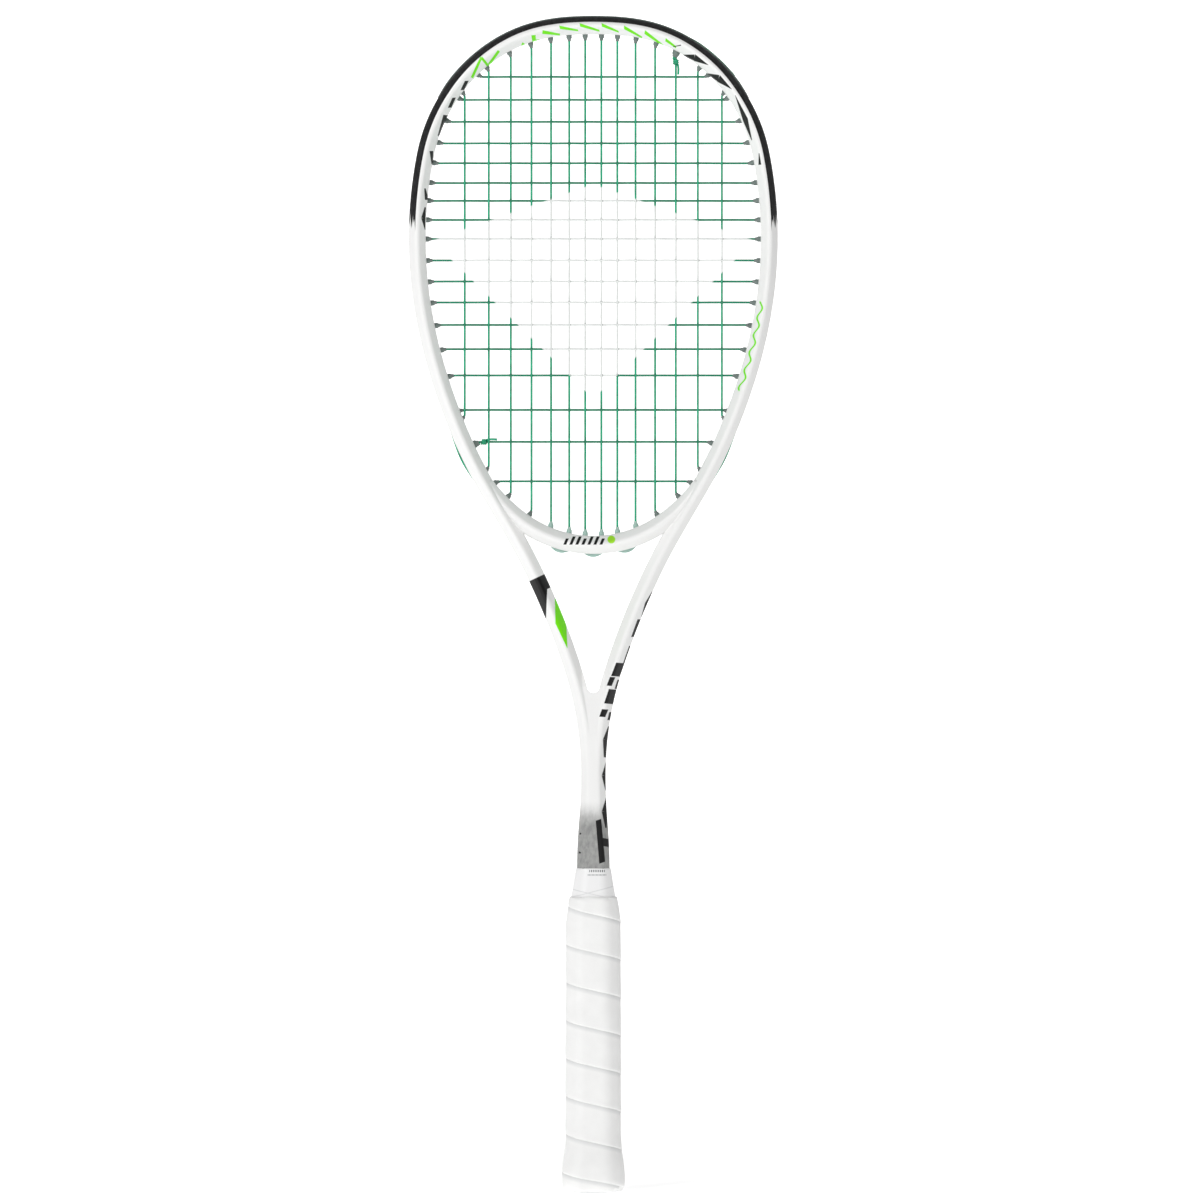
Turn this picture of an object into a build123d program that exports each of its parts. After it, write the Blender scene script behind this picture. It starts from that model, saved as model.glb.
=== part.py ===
"""Squash racket, strung, in millimetres.

The butt end stands on z = 0, the handle points up +Z to the head, and the strings lie in the
XZ plane.  Nothing on the racket moves: every piece is bonded, clipped, stapled or tied.
"""
import os
from math import acos, atan2, cos, degrees, hypot, pi, radians, sin, sqrt

from build123d import *

# ---------------------------------------------------------------- driving dimensions
handle_length = 186.0         # butt end to the top of the foam handle
shaft_length = 104.7          # foam handle top to the bottom of the fork
throat_height = 80.9          # fork bottom to the underside of the bridge
head_length = 313.4           # underside of the bridge to the top of the bumper
head_width = 215.0            # outside of the frame at the widest place

tube_width = 10.0             # frame tube, in the plane of the strings
tube_depth = 18.5             # frame tube, front to back
tube_wall = 1.05
inner_flat = 7.2              # flat side of the tube that faces the strings
outer_flat = 8.8              # flat side that carries the groove
nose_in = 1.0                 # crease on the string side, from the tube's centre line
nose_out = 1.2                # crease on the outer side
nose_round = 1.2
side_round = 1.8
waist_spread = 2.25           # half the distance between the two tubes at the waist
shaft_spread = 4.6            # half the distance between the two tubes in the handle
waist_drop = 47.7             # fork bottom down to the waist
arm_share = 0.3454            # the arms' x just under the bridge, as a share of the hoop's half width
fork_radius = 3.5
web_recess = 1.5              # how far the web between the arms lies behind the creases
web_flush_drop = 26.0         # fork bottom down to where the web comes flush

groove_width = 5.2
groove_depth = 2.2
strip_base = 0.75             # floor of a grommet strip
strip_gap = 0.05              # room between strip and groove on every side
strip_channel = 3.4           # inside of the strip's channel, where the string lies
bumper_rise = 0.8             # bumper flange above the frame
bumper_flange = 6.8           # bumper flange, front to back
strip_joint_gap = 0.6         # room between the ends of neighbouring strips

bridge_width = 10.7
bridge_depth = 17.0
bridge_share = 0.634          # radius of the bridge's upper edge, as a share of the hoop's half width
bridge_wall = 1.6
bridge_end_turn = 56.0        # degrees each side before the bridge runs out in the arms
core_turn = 29.0              # degrees each side that the foam core reaches
dome_rise = 1.8               # raised covers of the throat strip
dome_length = 10.0

string_diameter = 1.2
weave_offset = 0.7            # mains lie this far in front of the middle plane, crosses behind
barrel_radius = 1.45
barrel_tip_radius = 1.2
barrel_straight = 1.6         # straight part of a barrel that shows inside the hoop
tip_flare = 0.2               # how much wider the bore is at the barrel's tip, on the radius
tip_flare_depth = 1.6
barrel_reach = 3.5            # how far a barrel stands inside the hoop
bore_gap = 0.15               # string to bore, on the radius
main_clearance = 0.3          # least room between a cross's barrel and a main
hole_gap = 0.12               # barrel to drilled hole, on the radius
mouth_radius = 1.9            # flared outer mouth of a bore
mouth_depth = 2.1
twin_pitch = 1.3              # spacing of the two strings in a tie-off hole
elbow_radius = 1.5            # string bend at the outer end of a barrel
pivot_radius = 2.5            # string bend at the inner end of a barrel
hoop_lean = 0.65              # share of the frame's normal in the direction of a barrel
bridge_lean = 0.15            # the same in the bridge
corner_lean = 0.8             # the same where a barrel runs through bridge and arm
string_lift = 0.15            # room between the string's loops and the strip
loop_radius = 8.0             # gentle bend where a loop follows the groove
loop_stack = 1.35             # how far the tie-off run rides above the loops it crosses

main_shares = [0.0459, 0.1366, 0.24, 0.3512, 0.4688, 0.5941, 0.7307]  # of the hoop's half width
cross_shares = [0.1133, 0.156, 0.1969, 0.2368, 0.2738, 0.3105, 0.3437, 0.3791, 0.4145, 0.4544,
                0.4936, 0.5325, 0.5743, 0.6193, 0.6682, 0.7323, 0.7916, 0.865]  # of the head, from the top
bridge_mains = 3              # mains each side of the middle that go through the bridge alone
corner_mains = 5              # mains up to this one go through the bridge's end and the arm
head_strip_crosses = 2        # crosses whose outer ends the head strip holds

handle_width = 29.0           # foam handle over its flats
handle_depth = 25.2
handle_bevel = 7.0
grip_thickness = 1.7
grip_bottom = 1.5             # lower edge of the wrap above the butt end
grip_top = 172.0
tape_top = 188.7
tape_thickness = 0.6
cap_floor = 4.0
cap_skirt_top = 22.0
cap_wall = 1.2
cap_flare = 2.6               # how far the butt flares past the handle, each side
fit_gap = 0.1
shaft_bottom = 7.0
plug_length = 14.0
staple_wire = 0.8
staple_span = 8.0
staple_leg = 5.0
neck_bevel = 5.0              # bevel of the handle where it closes on the shaft
ring_rise = 0.55              # the knot's two turns lie this far either side of its middle
tail_lean = 0.35              # how far the knot's tail leans out as it hangs
knot_drop = 3.2               # knot centre, from the tip of its barrel
knot_tail = 7.0
tail_lead = 1.0               # how far the tied end stands out of its barrel

# ---------------------------------------------------------------- places that follow
fork_z = handle_length + shaft_length
bridge_low_z = fork_z + throat_height
overall_length = bridge_low_z + head_length
crown_z = overall_length - bumper_rise - tube_width / 2
side_x = (head_width - tube_width) / 2
hoop_length = crown_z - bridge_low_z
arm_x = arm_share * side_x
bridge_radius = bridge_share * side_x
main_places = [share * side_x for share in main_shares]
cross_drops = [share * head_length for share in cross_shares]
half_width = tube_width / 2
half_depth = tube_depth / 2
string_radius = string_diameter / 2
knot_ring_radius = string_diameter + 0.06
groove_floor = half_width - groove_depth
strip_floor = groove_floor + strip_gap + strip_base
string_seat = strip_floor + string_radius + string_lift
bore_radius = string_radius + bore_gap
hole_radius = barrel_radius + hole_gap
twin_extra = twin_pitch / 2
waist_z = fork_z - waist_drop

# The tube's centre line, right half: x, z and heading in degrees at each station.
STATIONS = [
    (0.0, crown_z, 0.0),
    (0.277 * side_x, crown_z - 0.0076 * hoop_length, -11.3),
    (0.756 * side_x, crown_z - 0.105 * hoop_length, -50.5),
    (side_x, crown_z - 0.402 * hoop_length, -90.0),
    (0.9 * side_x, crown_z - 0.637 * hoop_length, -105.8),
    (0.578 * side_x, crown_z - 0.889 * hoop_length, -120.8),
    (arm_x, fork_z + 0.895 * throat_height, -116.1),
    (waist_spread, waist_z, -90.0),
    (shaft_spread, handle_length, -90.0),
]


# ---------------------------------------------------------------- the centre line
# An arc is (centre x, centre z, radius, first heading, last heading) in radians.  A positive
# radius turns right.  Outward of the hoop is to the left of the heading.
def spot(arc, heading, outward=0.0):
    cx, cz, radius = arc[:3]
    return (cx - (radius + outward) * sin(heading), cz + (radius + outward) * cos(heading))


def arc_between(start, heading, end):
    dx, dz = end[0] - start[0], end[1] - start[1]
    half_turn = atan2(dz, dx) - heading
    radius = -hypot(dx, dz) / (2 * sin(half_turn))
    centre = (start[0] + radius * sin(heading), start[1] - radius * cos(heading))
    return (*centre, radius, heading, heading + 2 * half_turn)


def two_arcs(first, last):
    """Two tangent arcs from one station to the next."""
    (x0, z0, turn0), (x1, z1, turn1) = first, last
    a0, a1 = radians(turn0), radians(turn1)
    along = ((x1 - x0) * (cos(a0) + cos(a1)) + (z1 - z0) * (sin(a0) + sin(a1)))
    square = (x1 - x0) ** 2 + (z1 - z0) ** 2
    spread = 2 * (1 - cos(a1 - a0))
    if spread < 1e-9:
        reach = square / (2 * along)
    else:
        reach = (sqrt(along ** 2 + spread * square) - along) / spread
    middle = ((x0 + x1 + reach * (cos(a0) - cos(a1))) / 2,
              (z0 + z1 + reach * (sin(a0) - sin(a1))) / 2)
    one = arc_between((x0, z0), a0, middle)
    return [one, arc_between(middle, one[4], (x1, z1))]


def chain(stations):
    arcs = []
    for first, last in zip(stations, stations[1:]):
        arcs += two_arcs(first, last)
    return arcs


def trim(arcs, z_high, z_low):
    """The stretch of the right half between two heights."""
    kept = []
    for cx, cz, radius, h0, h1 in arcs:
        top, bottom = cz + radius * cos(h0), cz + radius * cos(h1)
        if bottom >= z_high or top <= z_low:
            continue
        if top > z_high:
            h0 = -acos((z_high - cz) / radius)
        if bottom < z_low:
            h1 = -acos((z_low - cz) / radius)
        kept.append((cx, cz, radius, h0, h1))
    return kept


def meet(arcs, outward, point, direction):
    """Where a ray meets the centre line moved outward: the point and its heading."""
    hits = []
    for arc in arcs:
        cx, cz, radius, h0, h1 = arc
        size = radius + outward
        px, pz = point[0] - cx, point[1] - cz
        b = px * direction[0] + pz * direction[1]
        inside = b * b - (px * px + pz * pz - size * size)
        if inside < 0:
            continue
        for reach in (-b - sqrt(inside), -b + sqrt(inside)):
            x, z = px + reach * direction[0], pz + reach * direction[1]
            heading = atan2(-x / size, z / size)
            if heading > 0.5:
                heading -= 2 * pi
            if reach > 0 and min(h0, h1) - 1e-9 <= heading <= max(h0, h1) + 1e-9:
                hits.append((reach, heading))
    reach, heading = min(hits)
    return (point[0] + reach * direction[0], point[1] + reach * direction[1]), heading


def line_of(arcs):
    edges = []
    for arc in arcs:
        ends = [spot(arc, h) for h in (arc[3], (arc[3] + arc[4]) / 2, arc[4])]
        edges.append(ThreePointArc(*[(x, 0, z) for x, z in ends]))
    return Wire(edges)


def start_plane(arcs):
    heading = arcs[0][3]
    x, z = spot(arcs[0], heading)
    return Plane(origin=(x, 0, z), x_dir=(-sin(heading), 0, cos(heading)),
                 z_dir=(cos(heading), 0, sin(heading)))


def along(arcs, section):
    """A section, drawn as (outward, depth), carried along a stretch of the centre line."""
    return sweep(start_plane(arcs) * section, path=line_of(arcs))


def block(out0, out1, depth0, depth1):
    """A rectangle in section coordinates."""
    return Pos((out0 + out1) / 2, (depth0 + depth1) / 2) * Rectangle(out1 - out0, depth1 - depth0)


def both_sides(shape):
    return shape + mirror(shape, about=Plane.YZ)


# ---------------------------------------------------------------- tube sections
def faceted(width, depth, side_in, side_out, crease_in, crease_out):
    hw, hd = width / 2, depth / 2
    corners = [(-hw, -side_in / 2), (-crease_in, -hd), (crease_out, -hd), (hw, -side_out / 2),
               (hw, side_out / 2), (crease_out, hd), (-crease_in, hd), (-hw, side_in / 2)]
    return make_face(Polyline(*corners, close=True))


def rounded(section):
    noses = [v for v in section.vertices() if abs(v.Y) > section.bounding_box().max.Y - 0.01]
    section = fillet(noses, nose_round)
    sides = [v for v in section.vertices() if abs(v.X) > section.bounding_box().max.X - 0.01]
    return fillet(sides, side_round)


def tube_outside():
    return rounded(faceted(tube_width, tube_depth, inner_flat, outer_flat, nose_in, nose_out))


def tube_inside(wall):
    return offset(faceted(tube_width, tube_depth, inner_flat, outer_flat, nose_in, nose_out),
                  -wall, kind=Kind.INTERSECTION)


def hoop_inside():
    relief = block(groove_floor - tube_wall, tube_width, -groove_width / 2 - tube_wall,
                   groove_width / 2 + tube_wall)
    return tube_inside(tube_wall) - relief


half_line = chain(STATIONS)
strip_end_z = bridge_low_z - 3.0
hoop_arcs = trim(half_line, crown_z + 1, strip_end_z)
arm_arcs = trim(half_line, strip_end_z, handle_length)
bridge_mid_radius = bridge_radius + bridge_width / 2
bridge_centre_z = bridge_low_z + bridge_width / 2 + bridge_mid_radius
bridge_arc = (0.0, bridge_centre_z, bridge_mid_radius,
              -pi + radians(bridge_end_turn), -pi - radians(bridge_end_turn))


def straight_leg(section):
    """The tube below the handle's top, where it runs straight down inside the foam."""
    plane = Plane(origin=(shaft_spread, 0, handle_length), x_dir=(1, 0, 0), z_dir=(0, 0, -1))
    return extrude(plane * section, handle_length - shaft_bottom)


def right_only(shape):
    sizes = (head_width, 2 * tube_depth, 2 * overall_length)
    return shape & Box(*sizes, align=(Align.MIN, Align.CENTER, Align.CENTER))


def web():
    """The web that fills the fork and the middle of the shaft, right half."""
    arcs = trim(half_line, fork_z + fork_radius, handle_length)
    top = spot(arcs[0], arcs[0][3])
    edges = [ThreePointArc(*[(x, 0, z) for x, z in
                             [spot(a, h) for h in (a[3], (a[3] + a[4]) / 2, a[4])]]) for a in arcs]
    outline = Polyline((shaft_spread, 0, handle_length), (shaft_spread, 0, shaft_bottom),
                       (0, 0, shaft_bottom), (0, 0, top[1]), (top[0], 0, top[1]))
    plate = extrude(make_face(edges + [outline]), tube_depth, both=True)
    flush_z = fork_z - web_flush_drop
    slope = web_recess / web_flush_drop
    top_half = half_depth - slope * (top[1] - flush_z)
    side = Polyline((0, -half_depth, shaft_bottom), (0, half_depth, shaft_bottom),
                    (0, half_depth, flush_z), (0, top_half, top[1]), (0, -top_half, top[1]),
                    (0, -half_depth, flush_z), close=True)
    wedge = extrude(make_face(side), head_width, dir=(1, 0, 0))
    bite = Pos(0, 0, fork_z + fork_radius) * Rot(90, 0, 0) * Cylinder(fork_radius, 2 * tube_depth)
    return (plate & wedge) - bite


def hairpin_blank():
    outside = tube_outside()
    half = along(hoop_arcs, outside) + along(arm_arcs, outside) + straight_leg(outside) + web()
    return both_sides(right_only(half))


def hairpin_hollow():
    plain = tube_inside(tube_wall)
    half = along(hoop_arcs, hoop_inside()) + along(arm_arcs, plain) + straight_leg(plain)
    return both_sides(right_only(half))


# ---------------------------------------------------------------- string holes
# A hole is (pivot, direction, exit, layer): the pivot is the barrel's inner end, on the string's
# own line; the exit is the string's corner over the groove; the layer is its depth.
def drilled(arcs, start, direction, layer, lean, reach_of=lambda x: barrel_reach):
    hit, heading = meet(arcs, -half_width if arcs is hoop_arcs else -bridge_width / 2,
                        start, direction)
    normal = (-sin(heading), cos(heading))
    mixed = [lean * n + (1 - lean) * d for n, d in zip(normal, direction)]
    size = hypot(*mixed)
    axis = (mixed[0] / size, mixed[1] / size)
    reach = reach_of(hit[0])
    pivot = (hit[0] - reach * direction[0], hit[1] - reach * direction[1])
    outer = string_seat if arcs is hoop_arcs else string_seat + (bridge_width - tube_width) / 2
    leave, _ = meet(arcs, outer, pivot, axis)
    return (pivot, axis, leave, layer)


def flipped(hole):
    (px, pz), (ax, az), (ex, ez), layer = hole
    return ((-px, pz), (-ax, az), (-ex, ez), layer)


def cross_reach(edge_x):
    """A cross's barrel stops short of a main that runs close to the frame."""
    stops = [place + string_radius + main_clearance for place in main_places if place < edge_x]
    return min(barrel_reach, edge_x - max(stops))


mid_z = crown_z - 0.45 * hoop_length
main_top = [drilled(hoop_arcs, (x, mid_z), (0, 1), -weave_offset, hoop_lean) for x in main_places]
main_bottom = []
for number, place in enumerate(main_places):
    if number < bridge_mains:
        hole = drilled([bridge_arc], (place, mid_z), (0, -1), -weave_offset, bridge_lean)
    elif number < corner_mains:
        hole = drilled([bridge_arc], (place, mid_z), (0, -1), -weave_offset, corner_lean)
        hole = (*hole[:2], meet(hoop_arcs, string_seat, hole[0], hole[1])[0], hole[3])
    else:
        hole = drilled(hoop_arcs, (place, mid_z), (0, -1), -weave_offset, hoop_lean)
    main_bottom.append(hole)
cross_ends = [drilled(hoop_arcs, (0, overall_length - drop), (1, 0), weave_offset, hoop_lean, cross_reach)
              for drop in cross_drops]


def rod(hole, reach0, reach1, radius, tip_radius=None, shift=0.0):
    """A round rod along a hole's axis, from one distance past the pivot to another."""
    (px, pz), (ax, az), _, layer = hole
    centre = (px + ax * reach0 + az * shift, layer, pz + az * reach0 - ax * shift)
    plane = Plane(origin=centre, x_dir=(0, 1, 0), z_dir=(ax, 0, az))
    length = reach1 - reach0
    if tip_radius is None:
        return plane * Cylinder(radius, length, align=(Align.CENTER, Align.CENTER, Align.MIN))
    return plane * Cone(tip_radius, radius, length, align=(Align.CENTER, Align.CENTER, Align.MIN))


def depth_of(hole):
    (px, pz), _, (ex, ez), _ = hole
    return hypot(ex - px, ez - pz)


def hole_cutter(hole, radius):
    return rod(hole, -1.0, depth_of(hole), radius)


def barrel(hole, radius=barrel_radius, tip=barrel_tip_radius):
    """A grommet barrel: tapered where it stands inside the hoop, straight in the frame."""
    end = depth_of(hole) - string_radius - strip_base / 2
    taper_end = barrel_reach - barrel_straight
    return rod(hole, taper_end, end, radius) + rod(hole, 0, taper_end, radius, tip)


def bore(hole, radius=bore_radius, mouth=mouth_radius):
    end = depth_of(hole) - string_radius
    return (rod(hole, -1.0, end + string_radius, radius)
            + rod(hole, 0, tip_flare_depth, radius, radius + tip_flare)
            + rod(hole, end - mouth_depth, end + 0.3, mouth + 0.15, radius))


tie_main = 4                  # the right-hand main whose head hole takes the first tie-off
tie_cross = len(cross_drops) - 2
side_holes = main_bottom[bridge_mains:] + cross_ends[head_strip_crosses:]
head_holes = main_top + cross_ends[:head_strip_crosses]
throat_holes = main_bottom[:bridge_mains]


def shifted(hole, amount):
    """The hole moved sideways in the plane of the strings, away from where its loop goes."""
    (px, pz), (ax, az), (ex, ez), layer = hole
    dx, dz = -abs(az) * amount, -abs(ax) * amount
    if ax * az < 0:
        dz = -dz
    return ((px + dx, pz + dz), (ax, az), (ex + dx, ez + dz), layer)


right_holes = side_holes + head_holes
hoop_holes = right_holes + [flipped(h) for h in right_holes]
bridge_holes = throat_holes + [flipped(h) for h in throat_holes]
twin_head = main_top[tie_main]
twin_side = flipped(cross_ends[tie_cross])


def widened(hole, radius):
    """A tie-off hole is centred between its two strings and wider by half their spacing."""
    if hole in (twin_head, twin_side):
        return shifted(hole, twin_extra), radius + twin_extra
    return hole, radius


def drill(holes, radius):
    return [hole_cutter(*widened(hole, radius)) for hole in holes]


# ---------------------------------------------------------------- frame and bridge
def frame_hairpin(blank, hollow):
    groove = along(hoop_arcs, block(groove_floor, tube_width, -groove_width / 2, groove_width / 2))
    return blank - hollow - both_sides(right_only(groove)) - drill(hoop_holes, hole_radius)


def bridge_section(inset=0.0):
    section = faceted(bridge_width, bridge_depth, inner_flat, outer_flat, nose_in, nose_out)
    if not inset:
        return rounded(section)
    relief_floor = bridge_width / 2 - groove_depth - inset
    relief = block(relief_floor, bridge_width, -groove_width / 2 - inset, groove_width / 2 + inset)
    return offset(section, -inset, kind=Kind.INTERSECTION) - relief


def bridge_stretch(turn):
    return [(*bridge_arc[:3], -pi + radians(turn), -pi - radians(turn))]


def biggest(shape):
    return max(shape.solids(), key=lambda solid: solid.volume)


def bridge_core():
    return along(bridge_stretch(core_turn), bridge_section(bridge_wall)) - drill(bridge_holes, hole_radius)


def throat_bridge(blank):
    solid = along([bridge_arc], bridge_section()) - blank
    bridge_floor = bridge_width / 2 - groove_depth
    groove = along([bridge_arc], block(bridge_floor, bridge_width, -groove_width / 2, groove_width / 2))
    room = along(bridge_stretch(core_turn), bridge_section(bridge_wall))
    ends = [h for h in hoop_holes if h[2][1] < bridge_centre_z]
    return biggest(solid - groove - room - drill(bridge_holes + ends, hole_radius))


# ---------------------------------------------------------------- grommet strips
def groove_section(out_face, top, flange=0.0):
    """What fills the groove up to its top, with flanges over the frame if it is the bumper."""
    half = groove_width / 2 - strip_gap
    floor = out_face - groove_depth + strip_gap
    section = block(floor, top if not flange else out_face + strip_gap, -half, half)
    if flange:
        section += block(out_face + strip_gap, top, -flange / 2, flange / 2)
    return section


def string_channel(arcs, out_face):
    """The open channel of a strip, where the string lies."""
    floor = out_face - groove_depth + strip_gap + strip_base
    return along(arcs, block(floor, 2 * tube_width, -strip_channel / 2, strip_channel / 2))


def strip(arcs, out_face, section, holes):
    body = along(arcs, section)
    barrels = []
    bores = []
    for hole in holes:
        centred, radius = widened(hole, barrel_radius)
        extra = radius - barrel_radius
        barrels.append(barrel(centred, radius, barrel_tip_radius + extra))
        bores.append(bore(centred, bore_radius + extra, mouth_radius + extra))
    return body + barrels - string_channel(arcs, out_face) - bores


head_strip_low = (cross_ends[head_strip_crosses - 1][2][1] + cross_ends[head_strip_crosses][2][1]) / 2


def mirrored(arcs):
    """The same stretch on the left, run back up towards the crown."""
    return [(-cx, cz, radius, -h1, -h0) for cx, cz, radius, h0, h1 in reversed(arcs)]


def head_bumper_strip():
    right = trim(half_line, crown_z + 1, head_strip_low + strip_joint_gap / 2)
    holes = head_holes + [flipped(h) for h in head_holes]
    section = groove_section(half_width, half_width + bumper_rise, bumper_flange)
    return strip(mirrored(right) + right, half_width, section, holes)


def side_strip(holes, left):
    arcs = trim(half_line, head_strip_low - strip_joint_gap / 2, strip_end_z + strip_joint_gap)
    if left:
        arcs = mirrored(arcs)
    return strip(arcs, half_width, groove_section(half_width, half_width), holes)


def throat_strip():
    half = bridge_width / 2
    reach = degrees(atan2(throat_holes[-1][2][0], bridge_centre_z - throat_holes[-1][2][1]))
    arcs = bridge_stretch(reach + degrees(barrel_radius * 3 / bridge_mid_radius))
    body = along(arcs, groove_section(half, half))
    dome_radius = (dome_length ** 2 / 4 + dome_rise ** 2) / (2 * dome_rise)
    seat = bridge_mid_radius + half + dome_rise - dome_radius
    room = along(arcs, block(half - groove_depth + strip_gap, half + 2 * dome_rise,
                             -groove_width / 2 + strip_gap, groove_width / 2 - strip_gap))
    middle = (throat_holes[1][2][0] + throat_holes[2][2][0]) / 2
    swing = atan2(middle, bridge_centre_z - throat_holes[1][2][1])
    for turn in (-swing, 0.0, swing):
        dome = Rot(90, 0, 0) * Cylinder(dome_radius, tube_depth)
        body += Pos(seat * sin(turn), 0, bridge_centre_z - seat * cos(turn)) * dome & room
    barrels = [barrel(h) for h in bridge_holes]
    return body + barrels - string_channel(arcs, half) - [bore(h) for h in bridge_holes]


# ---------------------------------------------------------------- the string and its two knots
def way_in(hole):
    (px, pz), _, (ex, ez), layer = hole
    return [((px, layer, pz), pivot_radius), ((ex, layer, ez), elbow_radius)]


def way_out(hole):
    return way_in(hole)[::-1]


def loop_point(start, end, outward, arcs=None):
    """A point of the groove half way along a loop, seen from inside the hoop."""
    arcs = arcs or hoop_arcs
    source = (0.0, mid_z) if arcs is hoop_arcs else (0.0, bridge_centre_z)
    x, z = (start[0] + end[0]) / 2, (start[1] + end[1]) / 2
    side = -1 if x < 0 else 1
    size = hypot(x - source[0], z - source[1])
    spot_found, _ = meet(arcs, outward, source, (abs(x) / size, (z - source[1]) / size))
    return (side * spot_found[0], spot_found[1])


def joined(first, second, bridge=False):
    """From one hole's exit to the next hole's, along the groove."""
    outward = string_seat + (bridge_width - tube_width) / 2 if bridge else string_seat
    x, z = loop_point(first[2], second[2], outward, [bridge_arc] if bridge else None)
    return [((x, (first[3] + second[3]) / 2, z), loop_radius)]


def lifted(hole, amount):
    (px, pz), (ax, az), (ex, ez), layer = hole
    return ((px, pz), (ax, az), (ex + ax * amount, ez + az * amount), layer)


def string_route():
    """Corners and bend radii, from the head knot through all mains and crosses to the side knot."""
    last = len(main_places) - 1
    head_tail = lifted(shifted(twin_head, twin_pitch), loop_stack)
    route = way_in(head_tail)
    top = lifted(main_top[last], loop_stack)
    between = lifted(main_top[tie_main + 1], loop_stack)
    for start, end in ((head_tail, between), (between, top)):
        x, z = loop_point(start[2], end[2], string_seat + loop_stack)
        route.append(((x, -weave_offset, z), loop_radius))
        if end is between:
            route.append(((between[2][0], -weave_offset, between[2][1]), loop_radius))
    route += way_out(top)
    order = [(n, 1) for n in range(last, -1, -1)] + [(n, -1) for n in range(last + 1)]
    going_down = True
    for step, (number, side) in enumerate(order):
        ends = [main_top[number], main_bottom[number]]
        if side < 0:
            ends = [flipped(h) for h in ends]
        leave = ends[1] if going_down else ends[0]
        enter = ends[0] if going_down else ends[1]
        if step:
            route += way_out(enter)
        route += way_in(leave)
        if step + 1 < len(order):
            next_number, next_side = order[step + 1]
            row = main_bottom if going_down else main_top
            after = row[next_number] if next_side > 0 else flipped(row[next_number])
            through_bridge = going_down and number < bridge_mains and next_number < bridge_mains
            short_hop = through_bridge and number == next_number == 0
            if not short_hop:
                route += joined(leave, after, through_bridge)
        going_down = not going_down
    leave = flipped(main_top[last])
    rightward = True
    for hole in cross_ends:
        enter, exit_hole = (flipped(hole), hole) if rightward else (hole, flipped(hole))
        route += joined(leave, enter) + way_out(enter) + way_in(exit_hole)
        leave = exit_hole
        rightward = not rightward
    side_tail = shifted(twin_side, twin_pitch)
    route += joined(leave, side_tail) + way_out(side_tail)
    return route


def tied_end(twin):
    """The tied end of the string stands clear of the knot, in line with its barrel."""
    (px, pz), (ax, az), _, layer = shifted(twin, twin_pitch)
    return (px - ax * tail_lead, layer, pz - az * tail_lead)


def string():
    route = string_route()
    corners = [tied_end(twin_head)] + [corner for corner, _ in route[1:-1]] + [tied_end(twin_side)]
    path = FilletPolyline(*corners, radius=[radius for _, radius in route[1:-1]])
    solid = sweep(Plane(origin=path @ 0, z_dir=path % 0) * Circle(string_radius), path=path)
    print("string", round(path.length), "mm long, volume", round(solid.volume), "mm3,",
          "its section times its length", round(path.length * pi * string_radius ** 2), "mm3")
    return solid


def knot():
    """Two turns of string round a straight string along Z, with its cut tail hanging down."""
    rings = []
    for rise in (-ring_rise, ring_rise):
        rings.append(Pos(knot_ring_radius, 0, rise) * Rot(90, 0, 0) * Circle(string_radius))
    turns = revolve(Sketch() + rings, Axis.Z)
    tail = Plane(origin=(-knot_ring_radius, 0, -ring_rise), z_dir=(-tail_lean, 0, -1))
    return turns + extrude(tail * Circle(string_radius), knot_tail)


def head_knot():
    (px, pz), _, _, layer = twin_head
    return Pos(px, layer, pz - knot_drop) * knot()


def side_knot():
    (px, pz), _, _, layer = twin_side
    return Pos(px + knot_drop, layer, pz) * Rot(0, -90, 0) * knot()


# ---------------------------------------------------------------- handle
def octagon(z, hw, hd, bevel):
    corners = [(hw, bevel - hd), (hw, hd - bevel), (hw - bevel, hd), (bevel - hw, hd),
               (-hw, hd - bevel), (-hw, bevel - hd), (bevel - hw, -hd), (hw - bevel, -hd)]
    return Plane.XY.offset(z) * make_face(Polyline(*corners, close=True))


def stack(stations, grow=0.0):
    """A solid through octagons at several heights: (z, half width, half depth, bevel)."""
    bevel_growth = grow * (2 - sqrt(2))
    return loft([octagon(z, hw + grow, hd + grow, bevel + bevel_growth) for z, hw, hd, bevel in stations],
                ruled=True)


hw = handle_width / 2
hd = handle_depth / 2
spigot = cap_wall + fit_gap
shaft_half = shaft_spread + half_width
taper = [
    (handle_length - 28.0, hw, hd, handle_bevel),
    (handle_length - 16.0, hw - 1.75, hd - 1.1, handle_bevel - 1.0),
    (handle_length, shaft_half + 0.6, half_depth + 0.6, neck_bevel),
]
cap_outline = [
    (0.0, hw + cap_flare - 1.3, hd + cap_flare - 1.3, handle_bevel),
    (3.0, hw + cap_flare, hd + cap_flare, handle_bevel),
    (cap_skirt_top - 4.0, hw + cap_flare - 0.6, hd + cap_flare - 0.6, handle_bevel),
    (cap_skirt_top, hw + 0.4, hd + 0.4, handle_bevel),
]


def staple_at(centre, outward):
    """A wire staple: its crown lies along Z on the surface, its legs point inwards."""
    x, y, z = centre
    half = staple_span / 2
    inner = [(x - outward[0] * staple_leg, y - outward[1] * staple_leg)] * 2
    corners = [(*inner[0], z - half), (x, y, z - half), (x, y, z + half), (*inner[1], z + half)]
    path = FilletPolyline(*corners, radius=staple_wire)
    return sweep(Plane(origin=path @ 0, z_dir=path % 0) * Circle(staple_wire / 2), path=path)


def butt_cap_staples():
    face = hw + cap_flare - 0.6
    middle = (cap_skirt_top - 4.0 + cap_floor) / 2
    left = staple_at((-face, 0, middle), (-1, 0))
    return left + mirror(left, about=Plane.YZ)


def grip_start_staple():
    return staple_at((0, hd + cap_flare - 0.2, (cap_skirt_top - 4.0 + cap_floor) / 2), (0, 1))


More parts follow.
